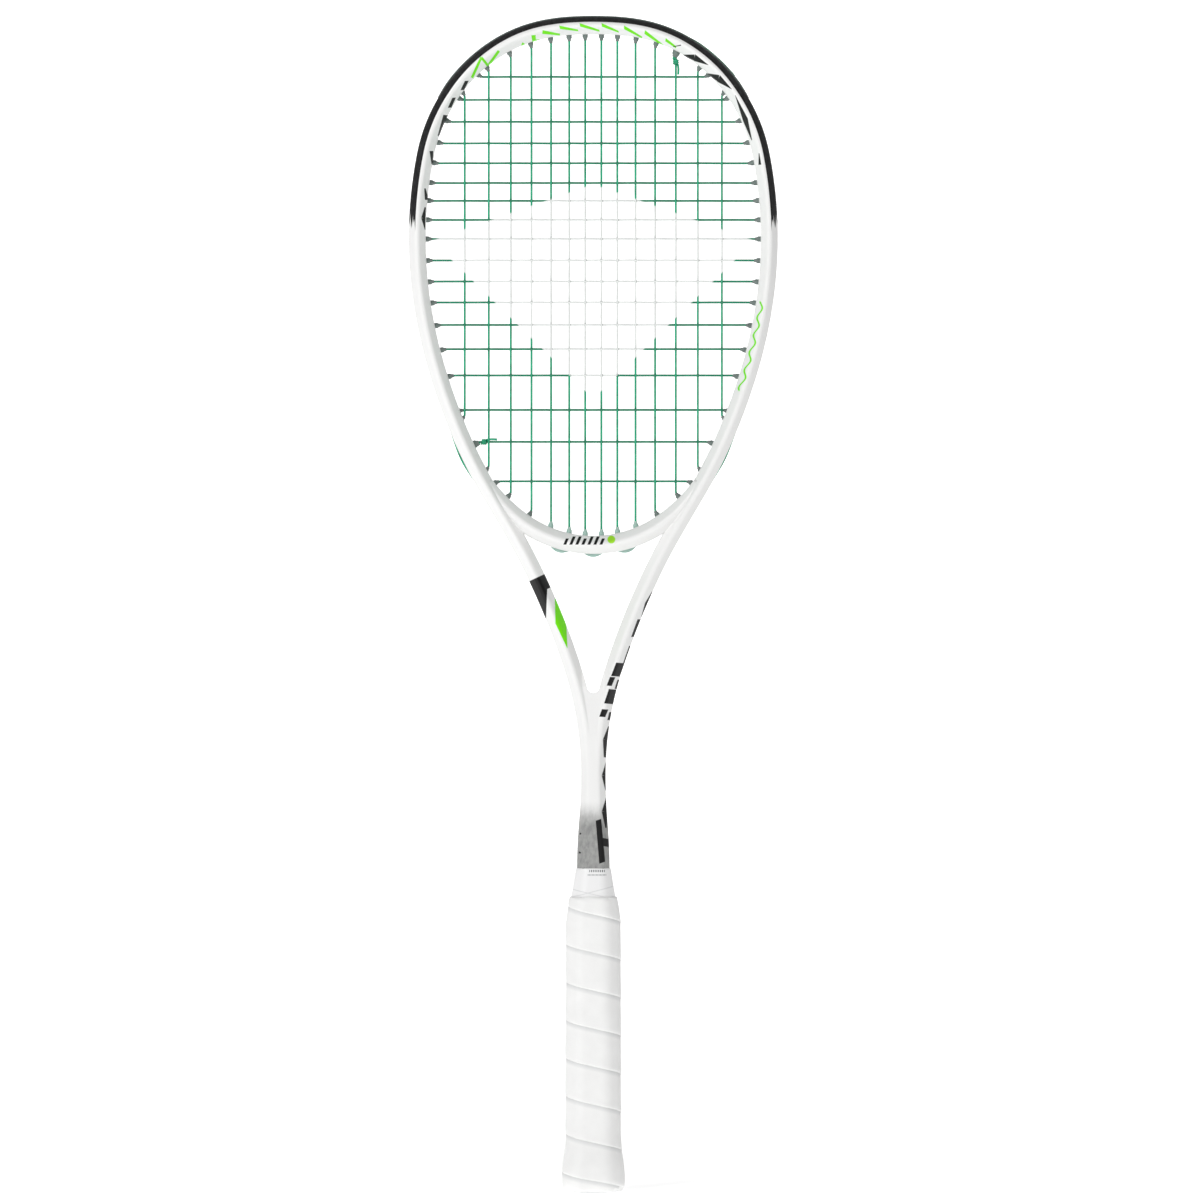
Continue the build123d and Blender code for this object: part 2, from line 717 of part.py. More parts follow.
def butt_cap(fasteners):
    pocket = stack([(cap_floor, hw - cap_wall, hd - cap_wall, handle_bevel),
                    (cap_skirt_top + 1, hw - cap_wall, hd - cap_wall, handle_bevel)])
    return stack(cap_outline) - pocket - fasteners


def handle_foam(blank, fasteners):
    lower = stack([(cap_floor + fit_gap, hw - spigot, hd - spigot, handle_bevel),
                   (cap_skirt_top + fit_gap, hw - spigot, hd - spigot, handle_bevel)])
    upper = stack([(cap_skirt_top + fit_gap, hw, hd, handle_bevel)] + taper)
    return lower + upper - blank - fasteners


def shaft_plug(hollow):
    slab = Pos(0, 0, shaft_bottom) * Box(handle_width, handle_depth, plug_length,
                                         align=(Align.CENTER, Align.CENTER, Align.MIN))
    return hollow & slab


def outline_at(stations, z):
    """Half width, half depth and bevel between two stations."""
    for low, high in zip(stations, stations[1:]):
        if low[0] <= z <= high[0]:
            share = (z - low[0]) / (high[0] - low[0])
            return (z, *[a + share * (b - a) for a, b in zip(low[1:], high[1:])])
    return (z, *stations[-1][1:])


def grip_wrap(cap, foam, fasteners):
    under = outline_at(taper, grip_top)
    stations = [outline_at(cap_outline, grip_bottom), cap_outline[1], cap_outline[2],
                (cap_skirt_top + 6.0, hw + 0.3, hd + 0.3, handle_bevel), taper[0]]
    body = stack([*stations, under], grip_thickness)
    cap_rim = stack([(grip_bottom - 1, *cap_outline[0][1:]), cap_outline[1]])
    inside = stack([(cap_floor, hw - 1, hd - 1, handle_bevel), (grip_top, hw - 4, hd - 3, neck_bevel)])
    return body - cap_rim - solid_of(cap) - foam - fasteners - inside


def solid_of(cap):
    """The cap filled in, so that nothing of the wrap is left inside it."""
    return stack(cap_outline) + cap


def finishing_tape(foam, blank):
    low = outline_at(taper, grip_top + fit_gap)
    top = (tape_top, shaft_half, half_depth, neck_bevel)
    outside = stack([low] + [station for station in taper if station[0] > low[0]] + [top], tape_thickness)
    inside = stack([(grip_top, hw - 4, hd - 3, neck_bevel), (handle_length - 1, hw - 6, hd - 5, neck_bevel)])
    return outside - foam - blank - inside


# ---------------------------------------------------------------- build
def build():
    blank = hairpin_blank()
    hollow = hairpin_hollow()
    cap_nails = butt_cap_staples()
    grip_nail = grip_start_staple()
    fasteners = cap_nails + grip_nail
    cap = butt_cap(fasteners)
    foam = handle_foam(blank, fasteners)
    return {
        "frame_hairpin": frame_hairpin(blank, hollow),
        "throat_bridge": throat_bridge(blank),
        "throat_bridge_core": bridge_core(),
        "head_bumper_strip": head_bumper_strip(),
        "right_grommet_strip": side_strip(side_holes, False),
        "left_grommet_strip": side_strip([flipped(h) for h in side_holes], True),
        "throat_grommet_strip": throat_strip(),
        "string": string(),
        "head_knot": head_knot(),
        "side_knot": side_knot(),
        "handle_foam": foam,
        "shaft_plug": shaft_plug(hollow),
        "butt_cap": cap,
        "butt_cap_staples": cap_nails,
        "grip_start_staple": grip_nail,
        "grip_wrap": grip_wrap(cap, foam, fasteners),
        "finishing_tape": finishing_tape(foam, blank),
    }


os.makedirs("parts", exist_ok=True)
for name, shape in build().items():
    export_step(shape, f"parts/{name}.step")
    print(name, len(shape.solids()), "solids", round(shape.volume, 1), "mm3")
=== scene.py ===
# %% [markdown]
# # A strung squash racket
# A squash racket is one long carbon tube bent into a hairpin: the bend is the hoop, and the two ends
# run down side by side as the shaft and end inside the handle. A bridge closes the hoop, nylon strips
# line its groove, one string is woven through them, and a soft wrap covers the handle. This notebook
# loads the engineered model as a fixed frame and builds the surfaces that the eye sees around it.

# %% Load the frame
from math import acos, atan2, cos, hypot, pi, radians, sin, sqrt

import bmesh
import bpy
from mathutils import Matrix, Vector


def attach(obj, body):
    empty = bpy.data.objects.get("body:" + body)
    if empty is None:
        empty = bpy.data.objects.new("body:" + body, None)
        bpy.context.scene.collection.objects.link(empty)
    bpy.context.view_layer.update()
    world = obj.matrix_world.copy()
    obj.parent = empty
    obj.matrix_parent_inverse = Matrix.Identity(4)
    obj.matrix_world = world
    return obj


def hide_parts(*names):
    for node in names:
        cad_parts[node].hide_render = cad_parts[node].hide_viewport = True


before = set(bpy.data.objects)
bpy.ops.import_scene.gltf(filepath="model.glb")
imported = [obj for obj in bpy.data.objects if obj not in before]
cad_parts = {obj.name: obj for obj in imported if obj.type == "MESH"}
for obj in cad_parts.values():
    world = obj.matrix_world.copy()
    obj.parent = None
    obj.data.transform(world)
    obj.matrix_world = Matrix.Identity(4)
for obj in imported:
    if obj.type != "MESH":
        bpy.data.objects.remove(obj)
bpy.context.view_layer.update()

MM = 0.001
print("nodes in the frame:", sorted(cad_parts))

# %% [markdown]
# ## Sizes
# Every length below is in millimetres and belongs to the same racket as the frame: the butt end is at
# z = 0, the head points up and the strings lie in the XZ plane. Each place is worked out from a few
# named sizes, so that a piece lands where the frame has it.

# %% Sizes of the racket
handle_length, shaft_length, throat_height, head_length = 186.0, 104.7, 80.9, 313.4
head_width = 215.0
fork_z = handle_length + shaft_length
bridge_low_z = fork_z + throat_height
overall_length = bridge_low_z + head_length
tube_width, tube_depth = 10.0, 18.5
inner_flat, outer_flat = 7.2, 8.8
nose_in, nose_out = 1.0, 1.2
groove_width, groove_depth = 5.2, 2.2
strip_gap, strip_base, strip_channel = 0.05, 0.75, 3.4
bumper_rise, bumper_half = 0.8, 3.4
crown_z = overall_length - bumper_rise - tube_width / 2
side_x = (head_width - tube_width) / 2
hoop_length = crown_z - bridge_low_z
waist_spread, shaft_spread, waist_drop = 2.25, 4.6, 47.7
shaft_bottom = 7.0
fork_radius, web_recess, web_flush_drop = 3.5, 1.5, 26.0
bridge_width, bridge_depth = 10.7, 17.0
bridge_mid_radius = 0.634 * side_x + bridge_width / 2
bridge_centre_z = bridge_low_z + bridge_width / 2 + bridge_mid_radius
bridge_end_turn = radians(62)
strip_end_z = bridge_low_z - 3.0
STATIONS = [
    (0.0, crown_z, 0.0),
    (0.277 * side_x, crown_z - 0.0076 * hoop_length, -11.3),
    (0.756 * side_x, crown_z - 0.105 * hoop_length, -50.5),
    (side_x, crown_z - 0.402 * hoop_length, -90.0),
    (0.9 * side_x, crown_z - 0.637 * hoop_length, -105.8),
    (0.578 * side_x, crown_z - 0.889 * hoop_length, -120.8),
    (0.3454 * side_x, fork_z + 0.895 * throat_height, -116.1),
    (waist_spread, fork_z - waist_drop, -90.0),
    (shaft_spread, handle_length, -90.0),
]
print("crown at", round(crown_z, 1), "widest at x", side_x)

# %% [markdown]
# ## The centre line
# A bent tube is easiest to think of as a line with a section carried along it. The line here is a
# chain of arcs that meet without a corner, two between each pair of stations. An arc is kept as its
# centre, its radius and its first and last heading, so any point of it is one short sum.

# %% Arcs of the centre line
def spot(arc, heading, outward=0.0):
    cx, cz, radius = arc[:3]
    return (cx - (radius + outward) * sin(heading), cz + (radius + outward) * cos(heading))


def arc_between(start, heading, end):
    dx, dz = end[0] - start[0], end[1] - start[1]
    half_turn = atan2(dz, dx) - heading
    radius = -hypot(dx, dz) / (2 * sin(half_turn))
    return (start[0] + radius * sin(heading), start[1] - radius * cos(heading),
            radius, heading, heading + 2 * half_turn)


def two_arcs(first, last):
    (x0, z0, turn0), (x1, z1, turn1) = first, last
    a0, a1 = radians(turn0), radians(turn1)
    along = (x1 - x0) * (cos(a0) + cos(a1)) + (z1 - z0) * (sin(a0) + sin(a1))
    square = (x1 - x0) ** 2 + (z1 - z0) ** 2
    spread = 2 * (1 - cos(a1 - a0))
    reach = (sqrt(along ** 2 + spread * square) - along) / spread if spread > 1e-9 else square / (2 * along)
    middle = ((x0 + x1 + reach * (cos(a0) - cos(a1))) / 2, (z0 + z1 + reach * (sin(a0) - sin(a1))) / 2)
    one = arc_between((x0, z0), a0, middle)
    return [one, arc_between(middle, one[4], (x1, z1))]


half_line = [arc for pair in zip(STATIONS, STATIONS[1:]) for arc in two_arcs(*pair)]
bridge_arc = (0.0, bridge_centre_z, bridge_mid_radius, -pi + bridge_end_turn, -pi - bridge_end_turn)
print("half the tube:", round(sum(abs(a[2] * (a[4] - a[3])) for a in half_line)), "mm long to the handle")

# %% [markdown]
# ## Making a mesh piece
# Each piece is a list of points in millimetres and a list of faces. One helper turns them into an
# object in metres, smooths its shading, stores any named numbers on its points, hangs it on the body
# it rides on, gives it its finish and hides the engineered solids it stands for.

# %% A helper for pieces
def piece(name, points, faces, material, nodes=(), fields=None, weld=True):
    mesh = bpy.data.meshes.new(name)
    mesh.from_pydata([Vector(p) * MM for p in points], [], faces)
    for field, values in (fields or {}).items():
        store = mesh.attributes.new(field, "FLOAT", "POINT")
        store.data.foreach_set("value", values)
    shape = bmesh.new()
    shape.from_mesh(mesh)
    if weld:
        bmesh.ops.remove_doubles(shape, verts=shape.verts, dist=0.004 * MM)
    bmesh.ops.delete(shape, geom=[v for v in shape.verts if not v.link_faces], context="VERTS")
    bmesh.ops.holes_fill(shape, edges=[e for e in shape.edges if e.is_boundary])
    bmesh.ops.recalc_face_normals(shape, faces=shape.faces)
    shape.to_mesh(mesh)
    shape.free()
    mesh.shade_smooth()
    thing = bpy.data.objects.new(name, mesh)
    bpy.context.scene.collection.objects.link(thing)
    mesh.materials.append(material)
    evener = thing.modifiers.new("even shading", "WEIGHTED_NORMAL")
    evener.weight = 80
    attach(thing, "root")
    if nodes:
        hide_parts(*nodes)
    print(name, len(mesh.vertices), "points", len(mesh.polygons), "faces")
    return thing


def loft(rings, first=0):
    """Points and faces of a skin over closed rings that all have the same number of points."""
    points = [p for ring in rings for p in ring]
    size = len(rings[0])
    faces = []
    for row in range(len(rings) - 1):
        for i in range(size):
            j = (i + 1) % size
            faces.append((first + row * size + i, first + row * size + j,
                          first + (row + 1) * size + j, first + (row + 1) * size + i))
    return points, faces


def softened(corners, cuts, steps=4):
    """A line of corners with each corner rounded; a cut of zero keeps that corner sharp."""
    out = []
    for n, (corner, cut) in enumerate(zip(corners, cuts)):
        if not cut:
            out.append(tuple(corner))
            continue
        here = Vector(corner)
        back, ahead = Vector(corners[n - 1]) - here, Vector(corners[(n + 1) % len(corners)]) - here
        a = here + back * min(cut / max(back.length, 1e-6), 0.47)
        b = here + ahead * min(cut / max(ahead.length, 1e-6), 0.47)
        for k in range(steps):
            t = k / (steps - 1)
            out.append(tuple(a * (1 - t) ** 2 + here * 2 * t * (1 - t) + b * t ** 2))
    return out


# %% [markdown]
# ## Colours and nodes
# Colours are written as the hex values a painter would pick and are turned to linear light once. A
# finish is a small tree of nodes; one function adds a node with its settings and its links.

# %% Helpers for finishes
def linear(hex_colour):
    parts = [int(hex_colour[i:i + 2], 16) / 255 for i in (1, 3, 5)]
    return tuple(c / 12.92 if c <= 0.04045 else ((c + 0.055) / 1.055) ** 2.4 for c in parts) + (1.0,)


def add(tree, kind, inputs=None, stops=(), **settings):
    """One node. An input is a value, a socket or another node; stops are a ramp's places and colours."""
    node = tree.nodes.new("ShaderNode" + kind)
    for name, value in settings.items():
        setattr(node, name, value)
    for n, (place, hex_colour) in enumerate(stops):
        node.color_ramp.elements[n].position = place
        node.color_ramp.elements[n].color = linear(hex_colour)
    for key, value in (inputs or {}).items():
        if isinstance(value, bpy.types.Node):
            value = value.outputs[0]
        if isinstance(value, bpy.types.NodeSocket):
            tree.links.new(value, node.inputs[key])
        else:
            node.inputs[key].default_value = value
    return node


def within(tree, value, middle, half, soft):
    """1 where a value lies within half of the middle, fading to 0 over the last soft millimetres."""
    off = add(tree, "Math", {0: value, 1: middle}, operation="SUBTRACT")
    off = add(tree, "Math", {0: off}, operation="ABSOLUTE")
    return add(tree, "MapRange", {0: off, 1: half, 2: half - soft})


def finish(name):
    """A new material, its tree, its shader and the object's own coordinates in millimetres."""
    material = bpy.data.materials.new(name)
    material.use_nodes = True
    tree = material.node_tree
    shader = tree.nodes["Principled BSDF"]
    place = add(tree, "TexCoord").outputs["Object"]
    in_mm = add(tree, "VectorMath", {0: place, "Scale": 1 / MM}, operation="SCALE")
    return material, tree, shader, in_mm


def plug_in(tree, shader, bump, strength=0.3, depth=0.1):
    """Links a height, its depth in millimetres, to the shader as its bump."""
    relief = add(tree, "Bump", {"Strength": strength, "Distance": depth * MM, "Height": bump.outputs[0]})
    tree.links.new(relief.outputs[0], shader.inputs["Normal"])


# %% [markdown]
# ## Lacquered carbon
# The tube is carbon cloth set in epoxy, sprayed white and then printed and lacquered. A black band is
# left where the carbon shows through a dark lacquer on the outer side of the hoop, a grey stretch of
# bare tube is left above the handle, and slashes of lime and black run along the inner side. All of
# it is flat print under one clear coat, so the coat gives the gloss and the colour alone changes.
# A printed mark is a straight tapered stroke: from one point to another, with a half width at each end.

# %% One printed stroke, as a node group
stroke = bpy.data.node_groups.new("printed stroke", "ShaderNodeTree")
for name, kind in (("Place", "Vector"), ("From", "Vector"), ("To", "Vector"), ("Wide", "Float"),
                   ("Narrow", "Float"), ("Slant", "Float"), ("Under", "Float")):
    stroke.interface.new_socket(name, in_out="INPUT", socket_type="NodeSocket" + kind)
stroke.interface.new_socket("Print", in_out="OUTPUT", socket_type="NodeSocketFloat")
asked = stroke.nodes.new("NodeGroupInput").outputs
run = add(stroke, "VectorMath", {0: asked["To"], 1: asked["From"]}, operation="SUBTRACT")
away = add(stroke, "VectorMath", {0: asked["Place"], 1: asked["From"]}, operation="SUBTRACT")
length = add(stroke, "VectorMath", {0: run}, operation="LENGTH").outputs["Value"]
heading = add(stroke, "VectorMath", {0: run}, operation="NORMALIZE")
ahead = add(stroke, "VectorMath", {0: away, 1: heading}, operation="DOT_PRODUCT").outputs["Value"]
side = add(stroke, "VectorMath", {0: heading, 1: (0.0, 1.0, 0.0)}, operation="CROSS_PRODUCT")
across = add(stroke, "VectorMath", {0: away, 1: side}, operation="DOT_PRODUCT").outputs["Value"]
skewed = add(stroke, "Math", {0: across, 1: asked["Slant"], 2: ahead}, operation="MULTIPLY_ADD")
half = add(stroke, "MapRange", {0: skewed, 1: 0.0, 2: length, 3: asked["Wide"], 4: asked["Narrow"]})
aside = add(stroke, "Math", {0: across}, operation="ABSOLUTE")
spare = add(stroke, "Math", {0: half, 1: aside}, operation="SUBTRACT")
left = add(stroke, "Math", {0: length, 1: skewed}, operation="SUBTRACT")
nearest = add(stroke, "Math", {0: skewed, 1: left}, operation="MINIMUM")
inside = add(stroke, "Math", {0: nearest, 1: spare}, operation="MINIMUM")
shown = add(stroke, "MapRange", {0: inside, 1: -0.12, 2: 0.12})
topmost = add(stroke, "Math", {0: shown, 1: asked["Under"]}, operation="MAXIMUM")
result = stroke.nodes.new("NodeGroupOutput")
stroke.links.new(topmost.outputs[0], result.inputs[0])
print("stroke group:", len(stroke.nodes), "nodes")

# %% [markdown]
# The strokes are listed as (x, z) to (x, z) with two half widths and the slant of their ends. Rows
# that repeat, such as the bars on the bridge, come from a loop.

# %% Where the strokes are
LIME_STROKES = [
    (-29.6, 675.2, -19.4, 673.9, 1.05, 0.5, 0.0), (-19.6, 677.9, -8.8, 676.2, 0.95, 0.45, 0.4),
    (-7.8, 679.3, 3.6, 676.0, 0.95, 0.5, 0.5), (4.9, 679.3, 14.8, 675.4, 0.95, 0.45, 0.5),
    (17.9, 677.9, 28.4, 672.2, 0.95, 0.45, 0.5), (29.9, 675.2, 41.0, 667.4, 0.95, 0.45, 0.5),
    (42.0, 670.8, 48.2, 666.4, 0.8, 0.5, 0.5),
    (-34.8, 673.4, -34.4, 669.9, 1.25, 1.1, 0.0), (-34.6, 670.3, -29.8, 671.0, 0.8, 0.2, 0.0),
    (-41.6, 668.6, -39.6, 667.6, 0.9, 0.7, 0.0),
    (-70.6, 648.7, -65.0, 660.6, 0.75, 0.75, 0.0), (-65.2, 660.4, -61.2, 655.7, 0.75, 0.75, 0.0),
    (-61.4, 655.6, -54.9, 664.3, 0.75, 0.75, 0.0),
    (-22.3, 346.0, -18.9, 331.5, 0.1, 3.2, 0.0), (-18.9, 331.8, -15.1, 316.8, 3.2, 0.1, 0.0),
]
BLACK_STROKES = [
    (-73.6, 646.9, -76.2, 641.6, 0.95, 0.95, 0.6), (-81.0, 637.1, -83.6, 631.3, 0.9, 0.9, 0.6),
    (-85.7, 627.0, -90.2, 615.0, 1.5, 0.4, 0.3), (-94.2, 606.1, -93.7, 598.5, 1.1, 0.5, 0.0),
    (-98.0, 584.3, -96.8, 577.8, 0.4, 1.2, 0.0), (-97.8, 573.4, -98.9, 567.0, 0.4, 1.2, 0.0),
    (-98.9, 567.1, -97.9, 560.4, 1.2, 0.2, 0.0),
    (51.4, 662.2, 59.0, 660.3, 0.1, 1.7, 0.3), (58.9, 660.4, 66.9, 656.0, 1.8, 0.1, 0.3),
    (66.0, 651.4, 73.0, 648.2, 0.1, 1.9, 0.3), (72.9, 648.3, 80.5, 641.9, 1.9, 0.1, 0.3),
    (82.5, 638.4, 88.5, 624.3, 0.1, 1.5, 0.0), (88.4, 624.5, 92.2, 612.4, 1.5, 0.2, 0.0),
    (96.4, 604.6, 96.9, 598.0, 0.2, 0.8, 0.0), (46.4, 666.8, 51.0, 667.5, 0.2, 0.3, 0.0),
    (-32.7, 357.9, -29.0, 350.1, 5.6, 5.6, 0.0), (-31.2, 352.6, -27.7, 332.8, 4.6, 0.1, 0.0),
    (34.4, 350.0, 31.1, 342.5, 0.1, 1.2, 0.0), (31.2, 342.7, 28.0, 335.0, 1.2, 0.1, 0.0),
    (26.8, 333.6, 23.1, 323.3, 1.0, 1.0, 0.4), (21.8, 318.2, 17.4, 305.0, 0.9, 1.1, 0.5),
    (15.8, 308.2, 12.8, 300.4, 2.4, 2.4, 0.3),
    (11.3, 300.0, 9.2, 294.9, 1.5, 1.4, 0.3), (14.9, 298.4, 13.2, 293.0, 0.8, 0.8, 0.3),
    (11.6, 292.8, 8.9, 284.4, 2.5, 2.6, 0.2), (6.9, 281.2, 5.2, 276.8, 1.8, 1.7, 0.3),
    (10.1, 279.6, 9.0, 274.9, 0.8, 0.8, 0.3), (8.9, 271.2, 7.4, 263.4, 0.3, 1.8, 0.0),
    (7.4, 263.6, 7.0, 253.2, 1.8, 0.9, 0.0), (7.8, 250.8, 6.7, 242.5, 0.4, 1.8, 0.0),
    (6.7, 242.7, 7.4, 234.0, 1.8, 0.4, 0.0), (7.8, 229.8, 6.7, 221.6, 0.4, 1.8, 0.0),
    (6.7, 221.8, 7.4, 212.2, 1.8, 0.4, 0.0), (3.0, 217.0, 5.2, 192.0, 1.65, 1.75, 0.25),
    (5.0, 204.2, 9.6, 203.2, 2.3, 2.3, 0.0), (-7.9, 209.0, -7.1, 208.6, 0.6, 0.4, 0.0),
    (-8.3, 198.0, -7.3, 197.6, 0.6, 0.4, 0.0),
]
for bar in range(7):
    tall = 4.8 if bar % 3 else 3.6
    foot = -16.6 + 3.5 * bar
    BLACK_STROKES.append((foot, 377.0, foot + 0.42 * tall, 377.0 + tall, 0.8, 0.8, 0.42))
print(len(LIME_STROKES), "lime strokes,", len(BLACK_STROKES), "black strokes")

# %% The lacquered carbon finish
lacquered_carbon, tree, shader, in_mm = finish("lacquered carbon tube")
parts = add(tree, "SeparateXYZ", {0: in_mm}).outputs
height = parts["Z"]
flat_place = add(tree, "CombineXYZ", {"X": parts["X"], "Z": height})
across = add(tree, "Attribute", attribute_name="across").outputs["Fac"]


def printed(strokes):
    under = 0.0
    for x0, z0, x1, z1, wide, narrow, slant in strokes:
        under = add(tree, "Group", {"Place": flat_place, "From": (x0, 0, z0), "To": (x1, 0, z1), "Wide": wide,
                                    "Narrow": narrow, "Slant": slant, "Under": under}, node_tree=stroke)
    return under


lime_print, black_print = printed(LIME_STROKES), printed(BLACK_STROKES)
# a wavy pinstripe on the right of the hoop, 10 mm from crest to crest
wave = add(tree, "Math", {0: height, 1: 0.62}, operation="MULTIPLY")
wave = add(tree, "Math", {0: wave}, operation="SINE")
wave_at = add(tree, "Math", {0: wave, 1: 1.9}, operation="ADD")
from_wave = add(tree, "Math", {0: wave_at, 1: across}, operation="ADD")
in_wave, in_run = within(tree, from_wave, 0.0, 0.65, 0.3), within(tree, height, 492.5, 26.5, 1.0)
right_side = add(tree, "MapRange", {0: parts["X"], 1: 20.0, 2: 21.0})
wave_print = add(tree, "Math", {0: in_wave, 1: in_run}, operation="MULTIPLY")
wave_print = add(tree, "Math", {0: wave_print, 1: right_side}, operation="MULTIPLY")
lime_all = add(tree, "Math", {0: lime_print, 1: wave_print}, operation="MAXIMUM")
# the round dot at the end of the bars
to_dot = add(tree, "VectorMath", {0: flat_place, 1: (10.5, 0.0, 380.0)}, operation="DISTANCE")
dot_print = add(tree, "MapRange", {0: to_dot.outputs["Value"], 1: 2.5, 2: 2.1})

# bare carbon: mottled by the cloth's tow bundles, about 2 mm wide, and drawn out along the tube
drawn_out = add(tree, "VectorMath", {0: in_mm, 1: (0.5, 0.5, 0.28)}, operation="MULTIPLY")
cloth = add(tree, "TexNoise", {"Vector": drawn_out, "Scale": 1.0, "Detail": 3.0, "Roughness": 0.6})
band_colour = add(tree, "ValToRGB", {0: cloth}, stops=((0.38, "#040405"), (0.75, "#2C2C2E")))
bare_colour = add(tree, "ValToRGB", {0: cloth}, stops=((0.3, "#8A8B8A"), (0.75, "#AEAEAC")))
# the band's lower end breaks up in streaks across the tube
spread_out = add(tree, "Math", {0: across, 1: 1.3}, operation="MULTIPLY")
streak = add(tree, "TexNoise", {"W": spread_out, "Detail": 2.0, "Scale": 1.0}, noise_dimensions="1D")
band_low = add(tree, "Math", {0: streak, 1: -26.0, 2: 577.0}, operation="MULTIPLY_ADD")
over_end = add(tree, "Math", {0: height, 1: band_low}, operation="SUBTRACT")
above_end = add(tree, "MapRange", {0: over_end, 1: -1.0, 2: 1.0})
# round the crown the band draws back towards the bumper
drawn_back = add(tree, "MapRange", {0: height, 1: 640.0, 2: 675.0, 3: 0.0, 4: 0.8})
outward = add(tree, "Math", {0: across, 1: drawn_back}, operation="SUBTRACT")
outer_half = add(tree, "MapRange", {0: outward, 1: 1.0, 2: 1.2})
band = add(tree, "Math", {0: above_end, 1: outer_half}, operation="MULTIPLY")
ragged = add(tree, "Math", {0: cloth, 1: 2.0, 2: height}, operation="MULTIPLY_ADD")
bare = add(tree, "MapRange", {0: ragged, 1: 230.0, 2: 213.0}, interpolation_type="SMOOTHSTEP")

colour = linear("#F2F2F1")
for share, coat in ((bare, bare_colour), (band, band_colour), (lime_all, linear("#74E800")),
                    (dot_print, linear("#A2E42E")), (black_print, linear("#070708"))):
    colour = add(tree, "Mix", {"Factor": share, 6: colour, 7: coat}, data_type="RGBA").outputs[2]
tree.links.new(colour, shader.inputs["Base Color"])
# orange peel of a sprayed lacquer, about 1 mm between its dimples
peel = add(tree, "TexNoise", {"Vector": in_mm, "Scale": 0.9, "Detail": 1.0})
plug_in(tree, shader, bump=peel, strength=0.12, depth=0.06)
shader.inputs["Roughness"].default_value = 0.4
shader.inputs["Specular IOR Level"].default_value = 0.25
shader.inputs["Coat Weight"].default_value = 0.18
shader.inputs["Coat Roughness"].default_value = 0.12
print("lacquered carbon:", len(tree.nodes), "nodes")

# %% [markdown]
# ## The frame tube
# The section has a flat on the string side, two bevels that meet at a narrow nose, and a groove along
# the outer side of the hoop. In the shaft the two tubes run into each other and a recessed web fills
# the fork between them. A swept curve with a bevel shape could not change its section like that, so
# the skin is lofted: one ring of points at a time, with the same number of points everywhere.

# %% Rings of the tube
def tube_ring(centre, heading, slant_share, groove, web_top=None, start_x=None,
              width=tube_width, depth=tube_depth):
    """One ring: the front half from the string side to the outer side, then the back half."""
    hw, hd = width / 2, depth / 2
    rise = (hd - inner_flat / 2) / (hw - nose_in)
    normal = Vector((-sin(heading), cos(heading)))
    out = normal.lerp(Vector((1.0, 0.0)), slant_share).normalized()
    stretch = 1 / normal.dot(out)
    if web_top is None:
        corners = [(-hw, 0.0), (-hw, inner_flat / 2), (-2.6, inner_flat / 2 + (hw - 2.6) * rise)]
        cuts = [0, 1.5, 0.5]
    else:
        start_u = (start_x - centre[0]) / stretch
        meet_u = min(-nose_in - (hd - web_top) / rise, -nose_in - 0.35)
        meet_u = max(meet_u, start_u + 0.3)
        corners = [(start_u, 0.0), (start_u, web_top), (meet_u, web_top)]
        cuts = [0, 0.05, 0.6]
    corners += [(-nose_in, hd), (nose_out, hd), (hw, outer_flat / 2), (hw, groove_width / 2),
                (hw - groove, groove_width / 2 - 0.1), (hw - groove, 0.0)]
    cuts += [1.3, 1.3, 1.4, 0, 0, 0]
    front = softened(corners, cuts)
    ring = [(u, -y) for u, y in front] + [(u, y) for u, y in reversed(front[1:-1])]
    points = [(centre[0] + out.x * u * stretch, y, centre[1] + out.y * u * stretch) for u, y in ring]
    return points, [u for u, _ in ring]


run_out = 16.0                # the web's edge fades into the arms over this height


def web_at(z):
    """Half depth of the web and where it starts, or nothing above the fork."""
    top = tube_depth / 2 - max(0.0, z - fork_z + web_flush_drop) * web_recess / web_flush_drop
    past_fork = z - fork_z - fork_radius
    if past_fork > run_out:
        return None, None
    if past_fork > 1e-6:
        end = inner_flat / 2 + 0.1
        return end + (top - end) * (1 - past_fork / run_out) ** 1.5, fork_radius
    if z <= fork_z:
        return top, 0.0
    return top, sqrt(max(0.0, fork_radius ** 2 - (fork_radius - (z - fork_z)) ** 2))


stops = []
for arc in half_line:
    count = max(2, round(abs(arc[2] * (arc[4] - arc[3])) / 2.4))
    stops += [(arc, arc[3] + (arc[4] - arc[3]) * k / count) for k in range(count)]
by_height = [fork_z + rise for rise in (0.0, 0.08, 0.3, 0.7, 1.3, 2.1, 2.9, fork_radius, fork_radius + 0.06)]
by_height += [strip_end_z, strip_end_z - 0.1]
for z in by_height:
    for arc in half_line[10:]:
        low, high = sorted(spot(arc, heading)[1] for heading in arc[3:5])
        if low <= z <= high:
            stops.append((arc, -acos((z - arc[1]) / arc[2])))
            break
stops.sort(key=lambda stop: (half_line.index(stop[0]), -stop[1] if stop[0][4] < stop[0][3] else stop[1]))

rings, across_of, open_row = [], [], []
places = [(spot(arc, heading), heading) for arc, heading in stops]
places += [((shaft_spread, z), -pi / 2) for z in (handle_length, 150.0, 100.0, 50.0, shaft_bottom)]
for centre, heading in places:
    x, z = centre
    web_top, start_x = web_at(z)
    # towards the fork the rings turn level
    level = min(1.0, max(0.0, (352.0 - z) / 16.0))
    if web_top is not None and z > fork_z:
        edge_x = x - tube_width / 2 / cos(heading + pi / 2)
        start_x = edge_x if z > fork_z + fork_radius else min(start_x, edge_x)
    groove = groove_depth if z > strip_end_z - 0.05 else 0.0
    ring, us = tube_ring(centre, heading, level, groove, web_top, start_x)
    rings.append(ring)
    across_of += us
    open_row.append(web_top is not None and z <= fork_z + 1e-6)

